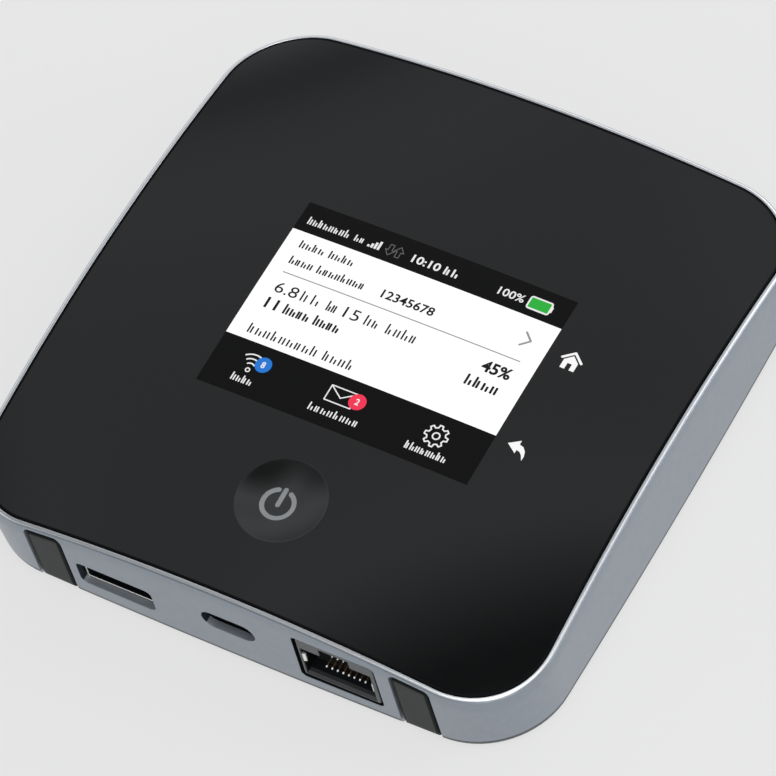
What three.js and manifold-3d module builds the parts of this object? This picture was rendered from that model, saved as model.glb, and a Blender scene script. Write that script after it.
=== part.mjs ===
// Pocket mobile hotspot: a square battery router with a domed touch-screen top, a metallic band round the
// sides, a row of ports along the front edge and a removable battery under a clip-on rear cover.
// Millimetres, +Z up. The origin is on the underside below the middle of the body; the ports face -Y.

import * as THREE from "three";
import { mergeVertices } from "three/addons/utils/BufferGeometryUtils.js";
import Module from "manifold-3d";

const wasm = await Module();
wasm.setup();

// ---- Driving dimensions ----

// Body
const HALF = 52.75; // half the width of the square body
const CORNER_RADIUS = 14.5;
const BOW = 0.75; // how far the ends of each side draw in at the underside
const CROWN = 20.35; // height of the top face at its middle
const DOME_FALL = 0.00051; // height lost per square millimetre away from the middle
const DOME_TWIST = 5.6e-7; // further height lost towards the corners
const GAP = 0.3; // clearance between neighbouring pieces
const SEAT = 0.1; // clearance under a piece that rests on another
const ARC_STEPS = 7;
const SIDE_STEPS = 8;

// Band
const WALL = 1.65;
const RIM_INSET = 1.05; // inner top edge of the band, in from its side
const CHAMFER = 0.28; // height of the bright chamfer along the rim
const RIM_LAND = 0.38; // width of the flat top of the rim
// The side curves in below the chamfer.
const SHOULDER = { height: 1.9, inset: 0.27, lean: 0.03, bulge: 0.55 };
const REBATE = 1.9; // depth of the seat for the top cover
const BAND_BASE = 0.35; // height of the band's lowest edge
const BASE_ROLL_IN = 1.1;
const BASE_ROLL_UP = 1.75;

// Covers
const COVER_THICKNESS = 1.5;
const REAR_THICKNESS = 1.4;
const REAR_EDGE = 0.6;
const CLIP = { length: 4, thickness: 0.8, top: 3.4, inset: 2.35 };

// Display
const DISPLAY = { x: 1.35, y: 0.2, width: 50.2, height: 37.6 };
const LENS_THICKNESS = 1.2;
const PANEL = { width: 60.3, height: 42.7, top: 17.6, thickness: 1.7 };

// Power button
const BUTTON = { x: 0.6, y: -33.1, radius: 7.6, dish: 1.0, base: 17.2, flange: 0.5, flangeRadius: 8.6 };
const SWITCH_TOP = 16.6;

// Ports along the front, seen from outside: lowest and highest x and z of each cutout in the band
const RJ45_CUT = { x0: 12.6, x1: 27.7, z0: 4.1, z1: 15.9, round: 0.9 };
const USB_A_CUT = { x0: -28.7, x1: -14.4, z0: 5.1, z1: 10.9, round: 1.2 };
const USB_C_CUT = { x0: -4.85, x1: 5.05, z0: 8.25, z1: 12.55, round: 2.1 };
const FLAP = { inner: 30.6, outer: 37.3, below: 1.15, round: 1.0, back: -51.05, step: 14.2 };
const FLAP_PIVOT = { y: -51.7, z: 1.4, radius: 0.65 };
const SOCKET_X = 33.9; // middle of each antenna socket
const FRONT = -HALF;

// Boards
const IO_PCB = { bottom: 7.7, top: 8.7, front: -49.3, back: -28, half: 41.5 };
const MAIN_PCB = { bottom: 11.3, top: 12.3, front: -25, back: 46, half: 42 };

// Battery and the chassis round it
const BATTERY = { half: 34, front: -24, back: 44, bottom: 1.9, top: 9.9 };
const BAY_GAP = 0.6;
const BAY_WALL = 1.2;
const DECK = { bottom: 10.2, top: 11 };
const SCREWS = [[-45.5, -30], [45.5, -30], [-45.5, 40], [45.5, 40]];
const POST_RADIUS = 3;
const POST_BASE = 2.6;
const BOSS_RADIUS = 2.6;
const SCREW = { head: 1.7, headHeight: 0.8, shank: 0.8, length: 11 };

// ---- Surfaces ----

function domeZ(x, y) {
  return CROWN - DOME_FALL * (x * x + y * y) - DOME_TWIST * x * x * y * y;
}

const RIM_Z = domeZ(HALF - RIM_INSET, 0);

// The rounded square at a distance in from the side, counter-clockwise, with its sides bowed.
function outline(inset, bow) {
  const straight = HALF - CORNER_RADIUS;
  const radius = CORNER_RADIUS - inset;
  const points = [];
  for (let quarter = 0; quarter < 4; quarter += 1) {
    const corner = [];
    for (let i = 0; i < SIDE_STEPS; i += 1) {
      corner.push(new THREE.Vector2(straight + radius, straight * ((2 * i) / SIDE_STEPS - 1)));
    }
    for (let i = 0; i < ARC_STEPS; i += 1) {
      const angle = ((i / ARC_STEPS) * Math.PI) / 2;
      const along = [straight + radius * Math.cos(angle), straight + radius * Math.sin(angle)];
      corner.push(new THREE.Vector2(...along));
    }
    const turn = (quarter * Math.PI) / 2;
    points.push(...corner.map((point) => point.rotateAround(new THREE.Vector2(), turn)));
  }
  const pull = bow / HALF ** 3;
  return points.map(({ x, y }) => new THREE.Vector2(x - x * pull * y * y, y - y * pull * x * x));
}

// One level of the body: its inset, its height at the middle of a side, and whether it follows the dome.
function level(inset, z, followsDome = false) {
  return outline(inset, followsDome ? 0 : BOW).map(({ x, y }) => {
    const fall = followsDome ? Math.max(RIM_Z - domeZ(x, y), 0) : 0;
    return new THREE.Vector3(x, y, z - fall);
  });
}

// Joins rings of equal length into a closed skin: round a loop, or capped at its two ends.
function skin(rings, isLoop = false) {
  const count = rings[0].length;
  const points = rings.flat();
  const faces = [];
  const spans = isLoop ? rings.length : rings.length - 1;
  for (let r = 0; r < spans; r += 1) {
    const low = r * count;
    const high = ((r + 1) % rings.length) * count;
    for (let i = 0; i < count; i += 1) {
      const next = (i + 1) % count;
      faces.push(low + i, low + next, high + next, low + i, high + next, high + i);
    }
  }
  if (!isLoop) {
    const last = (rings.length - 1) * count;
    const centreOf = (ring) => ring.reduce((sum, p) => sum.add(p), new THREE.Vector3()).divideScalar(count);
    const base = points.push(centreOf(rings[0])) - 1;
    const cap = points.push(centreOf(rings[rings.length - 1])) - 1;
    for (let i = 0; i < count; i += 1) {
      const next = (i + 1) % count;
      faces.push(base, next, i, cap, last + i, last + next);
    }
  }
  const geometry = new THREE.BufferGeometry().setFromPoints(points);
  geometry.setIndex(faces);
  return geometry;
}

// ---- Solids ----

function solid(geometry) {
  geometry.deleteAttribute("normal");
  geometry.deleteAttribute("uv");
  const merged = mergeVertices(geometry, 1e-4);
  const vertProperties = new Float32Array(merged.attributes.position.array);
  const triVerts = new Uint32Array(merged.index.array);
  return new wasm.Manifold(new wasm.Mesh({ numProp: 3, vertProperties, triVerts }));
}

function geometryOf(body) {
  const mesh = body.getMesh();
  const geometry = new THREE.BufferGeometry();
  geometry.setAttribute("position", new THREE.BufferAttribute(new Float32Array(mesh.vertProperties), 3));
  geometry.setIndex(new THREE.BufferAttribute(new Uint32Array(mesh.triVerts), 1));
  geometry.computeVertexNormals();
  return geometry;
}

const union = (bodies) => bodies.reduce((whole, body) => whole.add(body));
const cutAll = (body, tools) => tools.reduce((rest, tool) => rest.subtract(tool), body);

function slab([x0, x1], [y0, y1], [z0, z1]) {
  const geometry = new THREE.BoxGeometry(x1 - x0, y1 - y0, z1 - z0);
  return solid(geometry.translate((x0 + x1) / 2, (y0 + y1) / 2, (z0 + z1) / 2));
}

function roundedRectangle([x0, x1], [y0, y1], radius) {
  const shape = new THREE.Shape();
  shape.moveTo(x0 + radius, y0);
  shape.lineTo(x1 - radius, y0);
  shape.absarc(x1 - radius, y0 + radius, radius, -Math.PI / 2, 0);
  shape.lineTo(x1, y1 - radius);
  shape.absarc(x1 - radius, y1 - radius, radius, 0, Math.PI / 2);
  shape.lineTo(x0 + radius, y1);
  shape.absarc(x0 + radius, y1 - radius, radius, Math.PI / 2, Math.PI);
  shape.lineTo(x0, y0 + radius);
  shape.absarc(x0 + radius, y0 + radius, radius, Math.PI, 1.5 * Math.PI);
  return shape;
}

const extrude = (shape, depth, curveSegments) => {
  return new THREE.ExtrudeGeometry(shape, { depth, curveSegments, bevelEnabled: false });
};

// A rounded plate lying flat.
function plate(xs, ys, [z0, z1], radius) {
  return solid(extrude(roundedRectangle(xs, ys, radius), z1 - z0, 3).translate(0, 0, z0));
}

// A shape drawn in x and z, extruded in depth from y0 to y1.
function frontal(shape, [y0, y1], segments = 3) {
  return solid(extrude(shape, y1 - y0, segments).rotateX(Math.PI / 2).translate(0, y1, 0));
}

// An outline drawn in y and z, extruded across from x0 to x1.
function across(points, [x0, x1]) {
  const shape = new THREE.Shape(points.map(([y, z]) => new THREE.Vector2(y, z)));
  const geometry = extrude(shape, x1 - x0, 1);
  return solid(geometry.rotateX(Math.PI / 2).rotateZ(Math.PI / 2).translate(x0, 0, 0));
}

function rod(radius, [x, y], [z0, z1], segments = 16) {
  const geometry = new THREE.CylinderGeometry(radius, radius, z1 - z0, segments);
  return solid(geometry.rotateX(Math.PI / 2).translate(x, y, (z0 + z1) / 2));
}

function frontRod(radius, [x, z], [y0, y1], segments = 16) {
  const geometry = new THREE.CylinderGeometry(radius, radius, y1 - y0, segments);
  return solid(geometry.translate(x, (y0 + y1) / 2, z));
}

// A solid whose top is the domed face and whose underside runs parallel to it.
function domedSlab(inset, thickness) {
  const fractions = [0.15, 0.32, 0.49, 0.66, 0.83, 1];
  const rim = outline(inset, 0);
  const ring = (fraction, depth) => rim.map((point) => {
    const x = point.x * fraction;
    const y = point.y * fraction;
    return new THREE.Vector3(x, y, domeZ(x, y) - depth);
  });
  const under = fractions.map((fraction) => ring(fraction, thickness));
  const over = fractions.toReversed().map((fraction) => ring(fraction, 0));
  return solid(skin([...under, ...over]));
}

// ---- Band and its cutouts ----

function bandOutside() {
  const levels = [];
  for (let i = 0; i <= 3; i += 1) {
    const angle = (i * Math.PI) / 6;
    const inset = BASE_ROLL_IN * (1 - Math.sin(angle));
    levels.push(level(inset, BAND_BASE + BASE_ROLL_UP * (1 - Math.cos(angle))));
  }
  const start = new THREE.Vector2(0, RIM_Z - CHAMFER - SHOULDER.height);
  const middle = new THREE.Vector2(SHOULDER.lean, start.y + SHOULDER.bulge * SHOULDER.height);
  const end = new THREE.Vector2(SHOULDER.inset, RIM_Z - CHAMFER);
  const shoulder = new THREE.QuadraticBezierCurve(start, middle, end);
  levels.push(...shoulder.getPoints(4).map(({ x, y }) => level(x, y, true)));
  levels.push(level(RIM_INSET - RIM_LAND, RIM_Z, true), level(RIM_INSET, RIM_Z, true));
  return levels;
}

function cutout({ x0, x1, z0, z1, round }) {
  return frontal(roundedRectangle([x0, x1], [z0, z1], round), [FRONT - 2, FRONT + 3]);
}

const flapTop = (x) => domeZ(x, HALF - RIM_INSET) - FLAP.below;

// The flap's outline on one side of the body (side is -1 left, 1 right), grown by a margin.
function flapShape(side, margin, base) {
  const inner = FLAP.inner - margin;
  const outer = FLAP.outer + margin;
  const innerTop = flapTop(inner) + margin;
  const outerTop = flapTop(outer) + margin;
  const corners = new THREE.Path();
  corners.moveTo(inner, base);
  corners.lineTo(inner, innerTop - FLAP.round);
  corners.quadraticCurveTo(inner, innerTop, inner + FLAP.round, flapTop(inner + FLAP.round) + margin);
  corners.lineTo(outer - FLAP.round, flapTop(outer - FLAP.round) + margin);
  corners.quadraticCurveTo(outer, outerTop, outer, outerTop - FLAP.round);
  corners.lineTo(outer, base);
  return new THREE.Shape(corners.getPoints(4).map((point) => new THREE.Vector2(side * point.x, point.y)));
}

function sideFrame() {
  const inner = [
    level(RIM_INSET, RIM_Z - REBATE, true),
    level(WALL, RIM_Z - REBATE, true),
    level(WALL, BAND_BASE),
  ];
  const ring = solid(skin([...bandOutside(), ...inner], true));
  const flapCuts = [-1, 1].map((side) => frontal(flapShape(side, GAP, -1), [FRONT - 2, FRONT + 3], 4));
  return cutAll(ring, [cutout(RJ45_CUT), cutout(USB_A_CUT), cutout(USB_C_CUT), ...flapCuts]);
}

function portCover(side) {
  const body = solid(skin(bandOutside()));
  const shape = frontal(flapShape(side, 0, FLAP_PIVOT.z), [FRONT - 1, FLAP.back], 4);
  const width = FLAP.outer - FLAP.inner;
  const barrel = new THREE.CylinderGeometry(FLAP_PIVOT.radius, FLAP_PIVOT.radius, width, 16);
  barrel.rotateZ(Math.PI / 2);
  barrel.translate((side * (FLAP.inner + FLAP.outer)) / 2, FLAP_PIVOT.y, FLAP_PIVOT.z);
  const coverEdge = slab([-HALF, HALF], [FRONT + RIM_INSET, FRONT + 3], [FLAP.step, CROWN]);
  return body.intersect(shape).subtract(coverEdge).add(solid(barrel));
}

// ---- Covers, display and power button ----

const displaySpan = (margin) => [
  [DISPLAY.x - DISPLAY.width / 2 - margin, DISPLAY.x + DISPLAY.width / 2 + margin],
  [DISPLAY.y - DISPLAY.height / 2 - margin, DISPLAY.y + DISPLAY.height / 2 + margin],
];

function topCover() {
  const [xs, ys] = displaySpan(GAP / 2);
  const shell = domedSlab(RIM_INSET + GAP, COVER_THICKNESS);
  const bossBase = DECK.top + GAP;
  const bosses = SCREWS.map((at) => {
    const top = domeZ(...at) - COVER_THICKNESS / 2;
    return rod(BOSS_RADIUS, at, [bossBase, top]);
  });
  const holes = SCREWS.map((at) => rod(SCREW.shank + GAP, at, [bossBase - 1, bossBase + 2.6]));
  const window = slab(xs, ys, [CROWN - 4, CROWN + 1]);
  const buttonHole = rod(BUTTON.radius + GAP / 2, [BUTTON.x, BUTTON.y], [CROWN - 4, CROWN + 1], 40);
  return cutAll(union([shell, ...bosses]), [window, buttonHole, ...holes]);
}

function displayLens() {
  const [xs, ys] = displaySpan(-GAP / 2);
  return domedSlab(RIM_INSET + GAP, LENS_THICKNESS).intersect(slab(xs, ys, [CROWN - 4, CROWN + 1]));
}

function powerButton() {
  const { x, y, radius, dish, base, flange, flangeRadius } = BUTTON;
  const column = rod(radius, [x, y], [base + 0.1, CROWN], 40);
  const cap = domedSlab(RIM_INSET + GAP, 6).intersect(column);
  const ballRadius = (radius * radius + dish * dish) / (2 * dish);
  const normal = new THREE.Vector3(2 * DOME_FALL * x, 2 * DOME_FALL * y, 1).normalize();
  const ball = new THREE.SphereGeometry(ballRadius, 64, 64);
  const centre = new THREE.Vector3(x, y, domeZ(x, y)).addScaledVector(normal, ballRadius - dish);
  ball.rotateX(Math.PI / 2);
  ball.translate(centre.x, centre.y, centre.z);
  return cap.subtract(solid(ball)).add(rod(flangeRadius, [x, y], [base, base + flange], 40));
}

function rearCover() {
  const inset = WALL + GAP;
  const levels = [];
  for (let i = 0; i <= 2; i += 1) {
    const angle = (i * Math.PI) / 4;
    levels.push(level(inset + REAR_EDGE * (1 - Math.sin(angle)), REAR_EDGE * (1 - Math.cos(angle))));
  }
  levels.push(level(inset, REAR_THICKNESS));
  const clips = [];
  for (const along of [-22, 0, 22]) {
    const ends = [along - CLIP.length / 2, along + CLIP.length / 2];
    for (const side of [-1, 1]) {
      const reach = [HALF - CLIP.inset - CLIP.thickness, HALF - CLIP.inset].map((d) => side * d);
      reach.sort((a, b) => a - b);
      clips.push(slab(ends, reach, [REAR_THICKNESS - 0.2, CLIP.top]));
      clips.push(slab(reach, ends, [REAR_THICKNESS - 0.2, CLIP.top]));
    }
  }
  const cornerReach = HALF - CORNER_RADIUS * 0.42;
  const nailNotch = rod(2.4, [cornerReach, cornerReach], [-1, 0.7], 20);
  return union([solid(skin(levels)), ...clips]).subtract(nailNotch);
}

// ---- Display module and switch ----

function lcdPanel() {
  const xs = [DISPLAY.x - PANEL.width / 2, DISPLAY.x + PANEL.width / 2];
  const ys = [DISPLAY.y - PANEL.height / 2, DISPLAY.y + PANEL.height / 2];
  return plate(xs, ys, [PANEL.top - PANEL.thickness, PANEL.top], 0.8);
}

function lcdBracket() {
  const top = PANEL.top - PANEL.thickness - SEAT;
  const reach = { x: PANEL.width / 2 + 1.2, y: PANEL.height / 2 + 0.6 };
  const sheet = plate(
    [DISPLAY.x - reach.x, DISPLAY.x + reach.x],
    [DISPLAY.y - reach.y, DISPLAY.y + reach.y],
    [top - 0.4, top],
    1.5,
  );
  const windows = [-1, 1].map((side) => plate(
    [DISPLAY.x + side * 14 - 9, DISPLAY.x + side * 14 + 9],
    [DISPLAY.y - 13, DISPLAY.y + 13],
    [top - 1, top + 1],
    2,
  ));
  return cutAll(sheet, windows);
}

// A flat cable: a strip of constant thickness folded along a route of y and z.
function ribbon(route, thickness, xs) {
  const path = route.map(([y, z]) => new THREE.Vector2(y, z));
  const side = path.map((point, i) => {
    const before = path[Math.max(i - 1, 0)];
    const after = path[Math.min(i + 1, path.length - 1)];
    const along = after.clone().sub(before).normalize();
    return new THREE.Vector2(point.x - along.y * thickness, point.y + along.x * thickness);
  });
  return across([...path, ...side.reverse()].map(({ x, y }) => [x, y]), xs);
}

function displayFlex() {
  const edge = DISPLAY.y + PANEL.height / 2 + GAP;
  const low = MAIN_PCB.top + SEAT;
  const route = [[edge, 16.6], [edge + 2, 16.4], [edge + 3.2, 15.2], [edge + 3.8, 13.6], [edge + 4.8, low]];
  return ribbon([...route, [edge + 8.5, low]], 0.25, [-8, 8]);
}

function ioFlex() {
  const low = IO_PCB.top + SEAT;
  const high = MAIN_PCB.top + SEAT;
  const rise = [[-27.6, low + 0.8], [-27, 10.6], [-26.4, high - 0.5]];
  return ribbon([[-36, low], [-29, low], ...rise, [-25.4, high], [-21, high]], 0.25, [-11, 2]);
}

function buttonBoard() {
  const { x, y } = BUTTON;
  return plate([x - 8.5, x + 8.5], [y - 7, y + 7], [SWITCH_TOP - 1.9, SWITCH_TOP - 1.1], 1.5);
}

function buttonSwitch() {
  const { x, y } = BUTTON;
  const casing = plate([x - 2.6, x + 2.6], [y - 2.6, y + 2.6], [SWITCH_TOP - 1, SWITCH_TOP], 0.5);
  return casing.subtract(rod(1.2, [x, y], [SWITCH_TOP - 0.8, SWITCH_TOP + 1]));
}

function switchPlunger() {
  return rod(0.9, [BUTTON.x, BUTTON.y], [SWITCH_TOP - 0.3, BUTTON.base - SEAT / 2], 20);
}

function lightGuide() {
  const at = [BUTTON.x, BUTTON.y];
  return rod(5.8, at, [SWITCH_TOP - 1, SWITCH_TOP], 32).subtract(rod(4.2, at, [0, CROWN], 32));
}

// ---- Boards and modules ----

function mainPcb() {
  const { half, front, back, bottom, top } = MAIN_PCB;
  return plate([-half, half], [front, back], [bottom, top], 6);
}

function ioPcb() {
  const { half, front, back, bottom, top } = IO_PCB;
  const board = plate([-half, half], [front, back], [bottom, top], 1.5);
  const through = [bottom - 1, top + 1];
  const usbNotch = slab([USB_A_CUT.x0 - 0.1, USB_A_CUT.x1 + 0.1], [front - 1, -37.6], through);
  const rj45Notch = slab([RJ45_CUT.x0, RJ45_CUT.x1], [front - 1, -35.1], through);
  return cutAll(board, [usbNotch, rj45Notch]);
}

// A pressed tin lid, open underneath.
function shieldCan(xs, ys) {
  const [z0, z1] = [MAIN_PCB.top + SEAT, 14.4];
  const wall = 0.3;
  const shrink = ([low, high]) => [low + wall, high - wall];
  return plate(xs, ys, [z0, z1], 1).subtract(plate(shrink(xs), shrink(ys), [z0 - 1, z1 - wall], 0.7));
}

function modemModule() {
  const card = plate([-6, 24], [-18, 21], [12.9, 13.6], 0.6);
  const lid = plate([-4.5, 22.5], [-14, 19], [13.5, 14.6], 1);
  const connector = slab([-3, 21], [-17.5, -15], [MAIN_PCB.top + SEAT, 13]);
  return union([card, lid, connector]);
}

const heatSpreader = () => plate([-38, 38], [-20, 21], [14.8, 15.2], 3);

const antennaFlex = (side) => {
  const xs = [side * 50.3, side * 50].sort((a, b) => a - b);
  return slab(xs, [-14, 28], [DECK.top + SEAT, 15]);
};

// ---- Ports ----

// A box with one open end towards the front.
function frontBox({ x0, x1, z0, z1 }, [y0, y1], wall, round) {
  const outer = frontal(roundedRectangle([x0, x1], [z0, z1], round), [y0, y1]);
  const innerRound = Math.max(round - wall, 0.1);
  const hollow = roundedRectangle([x0 + wall, x1 - wall], [z0 + wall, z1 - wall], innerRound);
  return outer.subtract(frontal(hollow, [y0 - 1, y1 - wall]));
}

const inside = ({ x0, x1, z0, z1 }, margin) => {
  return { x0: x0 + margin, x1: x1 - margin, z0: z0 + margin, z1: z1 - margin };
};

const RJ45 = inside(RJ45_CUT, 0.4);
const RJ45_DEPTH = [FRONT + 0.3, -35.5];
const RJ45_CAVITY = { x0: 14.05, x1: 26.05, z0: 5.8, z1: 12.7, back: -41 };
const RJ45_LATCH = { x0: 17.45, x1: 22.9, top: 14.6 };

const rj45Shield = () => frontBox(RJ45, RJ45_DEPTH, 0.3, 0.3);

function rj45Insert() {
  const { x0, x1, z0, z1, back } = RJ45_CAVITY;
  const core = inside(RJ45, 0.5);
  const block = slab([core.x0, core.x1], [RJ45_DEPTH[0] + 0.2, RJ45_DEPTH[1] - 0.6], [core.z0, core.z1]);
  const cavity = slab([x0, x1], [FRONT, back], [z0, z1]);
  const latch = slab([RJ45_LATCH.x0, RJ45_LATCH.x1], [FRONT, back], [z1 - 0.1, RJ45_LATCH.top]);
  return cutAll(block, [cavity, latch]);
}

// Eight sprung wires rising from the floor of the jack, joined at their roots.
function rj45Contacts() {
  const pitch = 1.02;
  const middle = (RJ45_CAVITY.x0 + RJ45_CAVITY.x1) / 2;
  const floor = RJ45_CAVITY.z0 + GAP;
  const wires = [];
  for (let i = 0; i < 8; i += 1) {
    const x = middle + (i - 3.5) * pitch;
    const under = [[-50.8, floor], [-50.4, floor], [-42.7, floor + 1.6]];
    const over = [[-42.9, floor + 1.95], [-50.8, floor + 0.4]];
    wires.push(across([...under, ...over], [x - 0.22, x + 0.22]));
  }
  const root = slab([middle - 4, middle + 4], [-50.8, -50.5], [floor, floor + 0.3]);
  return union([root, ...wires]);
}

const USB_A = { x0: -28.2, x1: -14.9, z0: 5.35, z1: 10.65 };
const usbAShell = () => frontBox(USB_A, [FRONT + 1.35, -37.9], 0.3, 0.5);

function usbATongue() {
  const core = inside(USB_A, 0.6);
  const block = slab([core.x0, core.x1], [-40, -38.5], [core.z0, core.z1]);
  const tongue = slab([-27.2, -15.9], [-49.9, -39.9], [8.3, 10.05]);
  return union([block, tongue]);
}

const USB_C_Z = 10.45;
const USB_C = { x0: -4.45, x1: 4.65, z0: USB_C_Z - 1.65, z1: USB_C_Z + 1.65 };
const usbCShell = () => frontBox(USB_C, [FRONT + 1.8, -44.2], 0.3, 1.6);

function usbCTongue() {
  const block = slab([-3, 3.2], [-46, -44.8], [USB_C_Z - 1, USB_C_Z + 1]);
  const tongue = slab([-3.25, 3.45], [FRONT + 2.4, -45.9], [USB_C_Z - 0.35, USB_C_Z + 0.35]);
  return union([block, tongue]);
}

// The small coaxial antenna socket behind a port cover, with the bezel that closes its opening.
function antennaSocket(side) {
  const x = side * SOCKET_X;
  const z = IO_PCB.top + 2.2;
  const bezel = frontal(roundedRectangle([x - 3.6, x + 3.6], [4, 13.9], 0.8), [-50.5, -49.7]);
  const housing = slab([x - 2.6, x + 2.6], [-49.8, -44.5], [IO_PCB.top + SEAT, z + 1.9]);
  const barrel = frontRod(1.9, [x, z], [-50.8, -49.6]);
  const bore = frontRod(1.3, [x, z], [-51, -48.2]);
  const pin = frontRod(0.35, [x, z], [-50.6, -48.1], 10);
  return union([bezel, housing, barrel]).subtract(bore).add(pin);
}

const simSocket = () => shelfSocket([-10, 4.5], [-43, -28.6]);
const microsdSocket = () => shelfSocket([-41, -29.4], [-42.5, -28.6]);

// A card reader hung under the port board, with its slot towards the battery.
function shelfSocket(xs, ys) {
  const top = IO_PCB.bottom - SEAT;
  const shell = plate(xs, ys, [top - 1.6, top], 0.4);
  const slot = slab([xs[0] + 0.8, xs[1] - 0.8], [ys[0] + 1.2, ys[1] + 1], [top - 1.3, top - 0.4]);
  return shell.subtract(slot);
}

// ---- Battery, chassis and screws ----

const battery = () => {
  const { half, front, back, bottom, top } = BATTERY;
  const pack = plate([-half, half], [front, back], [bottom, top], 2);
  const pullTab = plate([-9, 9], [back - 6, back + 1], [bottom - 1, bottom + 0.25], 1);
  const contactPads = slab([11, 21], [front - 1, front + 0.4], [bottom + 4.2, top - 1]);
  return cutAll(pack, [pullTab, contactPads]);
};

const CONTACT_BLOCK = { xs: [10, 22], ys: [-27.7, -24.3], zs: [6, 9.6] };

function batteryContacts() {
  const { xs, ys, zs } = CONTACT_BLOCK;
  const block = slab(xs, [ys[0], ys[1] - 0.6], zs);
  const blades = [12, 14.7, 17.3, 20].map((x) => slab([x - 0.5, x + 0.5], [ys[1] - 0.7, ys[1]], [7, 8.6]));
  return union([block, ...blades]);
}

function midChassis() {
  const { half, front, back } = BATTERY;
  const deck = solid(skin([level(WALL + 0.4, DECK.bottom), level(WALL + 0.4, DECK.top)]));
  const bay = { x: half + BAY_GAP, y0: front - BAY_GAP, y1: back + BAY_GAP };
  const bayHeight = [BATTERY.bottom, DECK.bottom + 0.1];
  const walls = plate(
    [-bay.x - BAY_WALL, bay.x + BAY_WALL],
    [bay.y0 - BAY_WALL, bay.y1 + BAY_WALL],
    bayHeight,
    3,
  ).subtract(plate([-bay.x, bay.x], [bay.y0, bay.y1], [0, DECK.bottom + 0.05], 2));
  const posts = SCREWS.map((at) => rod(POST_RADIUS, at, [POST_BASE, DECK.bottom + 0.1], 20));
  const portWindow = slab([-42, 42], [-HALF, bay.y0 - BAY_WALL], [0, DECK.top + 1]);
  const contactNotch = slab([9.7, 22.3], [-28, -24], [BATTERY.bottom - 1, 10]);
  const screwHoles = SCREWS.map((at) => rod(SCREW.shank + GAP, at, [0, DECK.top + 1]));
  return cutAll(union([deck, walls, ...posts]), [portWindow, contactNotch, ...screwHoles]);
}

// A pan-head screw with a cross recess, driven from below.
function chassisScrew(at) {
  const headTop = POST_BASE - SEAT;
  const headBase = headTop - SCREW.headHeight;
  const head = rod(SCREW.head, at, [headBase, headTop], 20);
  const shank = rod(SCREW.shank, at, [headTop - 0.1, headTop + SCREW.length], 14);
  const [x, y] = at;
  const recess = [
    slab([x - 0.9, x + 0.9], [y - 0.2, y + 0.2], [headBase - 1, headBase + 0.4]),
    slab([x - 0.2, x + 0.2], [y - 0.9, y + 0.9], [headBase - 1, headBase + 0.4]),
  ];
  return cutAll(head.add(shank), recess);
}

// ---- Materials ----

const finish = (color, roughness, metalness) => {
  return new THREE.MeshStandardMaterial({ color, roughness, metalness });
};

const bandMetal = () => finish(0x9ba3ac, 0.38, 0.6);
const glossBlack = () => finish(0x131517, 0.12, 0);
const lensBlack = () => finish(0x0c0d0f, 0.08, 0);
const displayGlass = () => finish(0x202428, 0.3, 0.1);
const rubber = () => finish(0x303434, 0.8, 0);
const rearPlastic = () => finish(0x35393c, 0.6, 0);
const chassisPlastic = () => finish(0x1b1d1f, 0.65, 0);
const boardGreen = () => finish(0x1d4a35, 0.55, 0);
const tin = () => finish(0xb9bcbf, 0.35, 0.85);
const steel = () => finish(0x9b9ea2, 0.3, 0.9);
const gold = () => finish(0xc9a24a, 0.3, 0.9);
const flexFilm = () => finish(0x7a4a1c, 0.5, 0.1);
const clearPlastic = () => finish(0xd8dcdf, 0.3, 0);
const graphite = () => finish(0x3a3c3f, 0.5, 0.4);
const batteryWrap = () => finish(0x26282a, 0.5, 0);
const portPlastic = () => finish(0x15171a, 0.5, 0);

// ---- Assembly ----

const hotspot = new THREE.Group();

function add(name, body, material) {
  const mesh = new THREE.Mesh(geometryOf(body), material);
  mesh.name = name;
  hotspot.add(mesh);
}

add("side_frame", sideFrame(), bandMetal());
add("top_cover", topCover(), glossBlack());
add("display_lens", displayLens(), lensBlack());
add("power_button", powerButton(), glossBlack());
add("rear_cover", rearCover(), rearPlastic());
add("mid_chassis", midChassis(), chassisPlastic());

add("lcd_panel", lcdPanel(), displayGlass());
add("lcd_bracket", lcdBracket(), steel());
add("display_flex", displayFlex(), flexFilm());
add("button_board", buttonBoard(), boardGreen());
add("button_switch", buttonSwitch(), steel());
add("switch_plunger", switchPlunger(), portPlastic());
add("light_guide", lightGuide(), clearPlastic());

add("main_pcb", mainPcb(), boardGreen());
add("io_pcb", ioPcb(), boardGreen());
add("io_flex", ioFlex(), flexFilm());
add("processor_can", shieldCan([-36, -12], [8, 34]), tin());
add("power_can", shieldCan([-36, -12], [-20, 4]), tin());
add("radio_can", shieldCan([28, 40], [-16, 22]), tin());
add("modem_module", modemModule(), tin());
add("heat_spreader", heatSpreader(), graphite());

add("rj45_shield", rj45Shield(), tin());
add("rj45_insert", rj45Insert(), portPlastic());
add("rj45_contacts", rj45Contacts(), gold());
add("usb_a_shell", usbAShell(), steel());
add("usb_a_tongue", usbATongue(), portPlastic());
add("usb_c_shell", usbCShell(), steel());
add("usb_c_tongue", usbCTongue(), portPlastic());
add("sim_socket", simSocket(), steel());
add("microsd_socket", microsdSocket(), steel());

add("battery", battery(), batteryWrap());
add("battery_contacts", batteryContacts(), gold());

[["left", -1], ["right", 1]].forEach(([word, side]) => {
  add(`port_cover_${word}`, portCover(side), rubber());
  add(`antenna_socket_${word}`, antennaSocket(side), steel());
  add(`antenna_flex_${word}`, antennaFlex(side), flexFilm());
});

SCREWS.forEach((at, i) => add(`chassis_screw_${i + 1}`, chassisScrew(at), steel()));

export default hotspot;
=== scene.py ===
import math

import bmesh
import bpy
from mathutils import Matrix, Vector
from mathutils.geometry import tessellate_polygon


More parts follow.
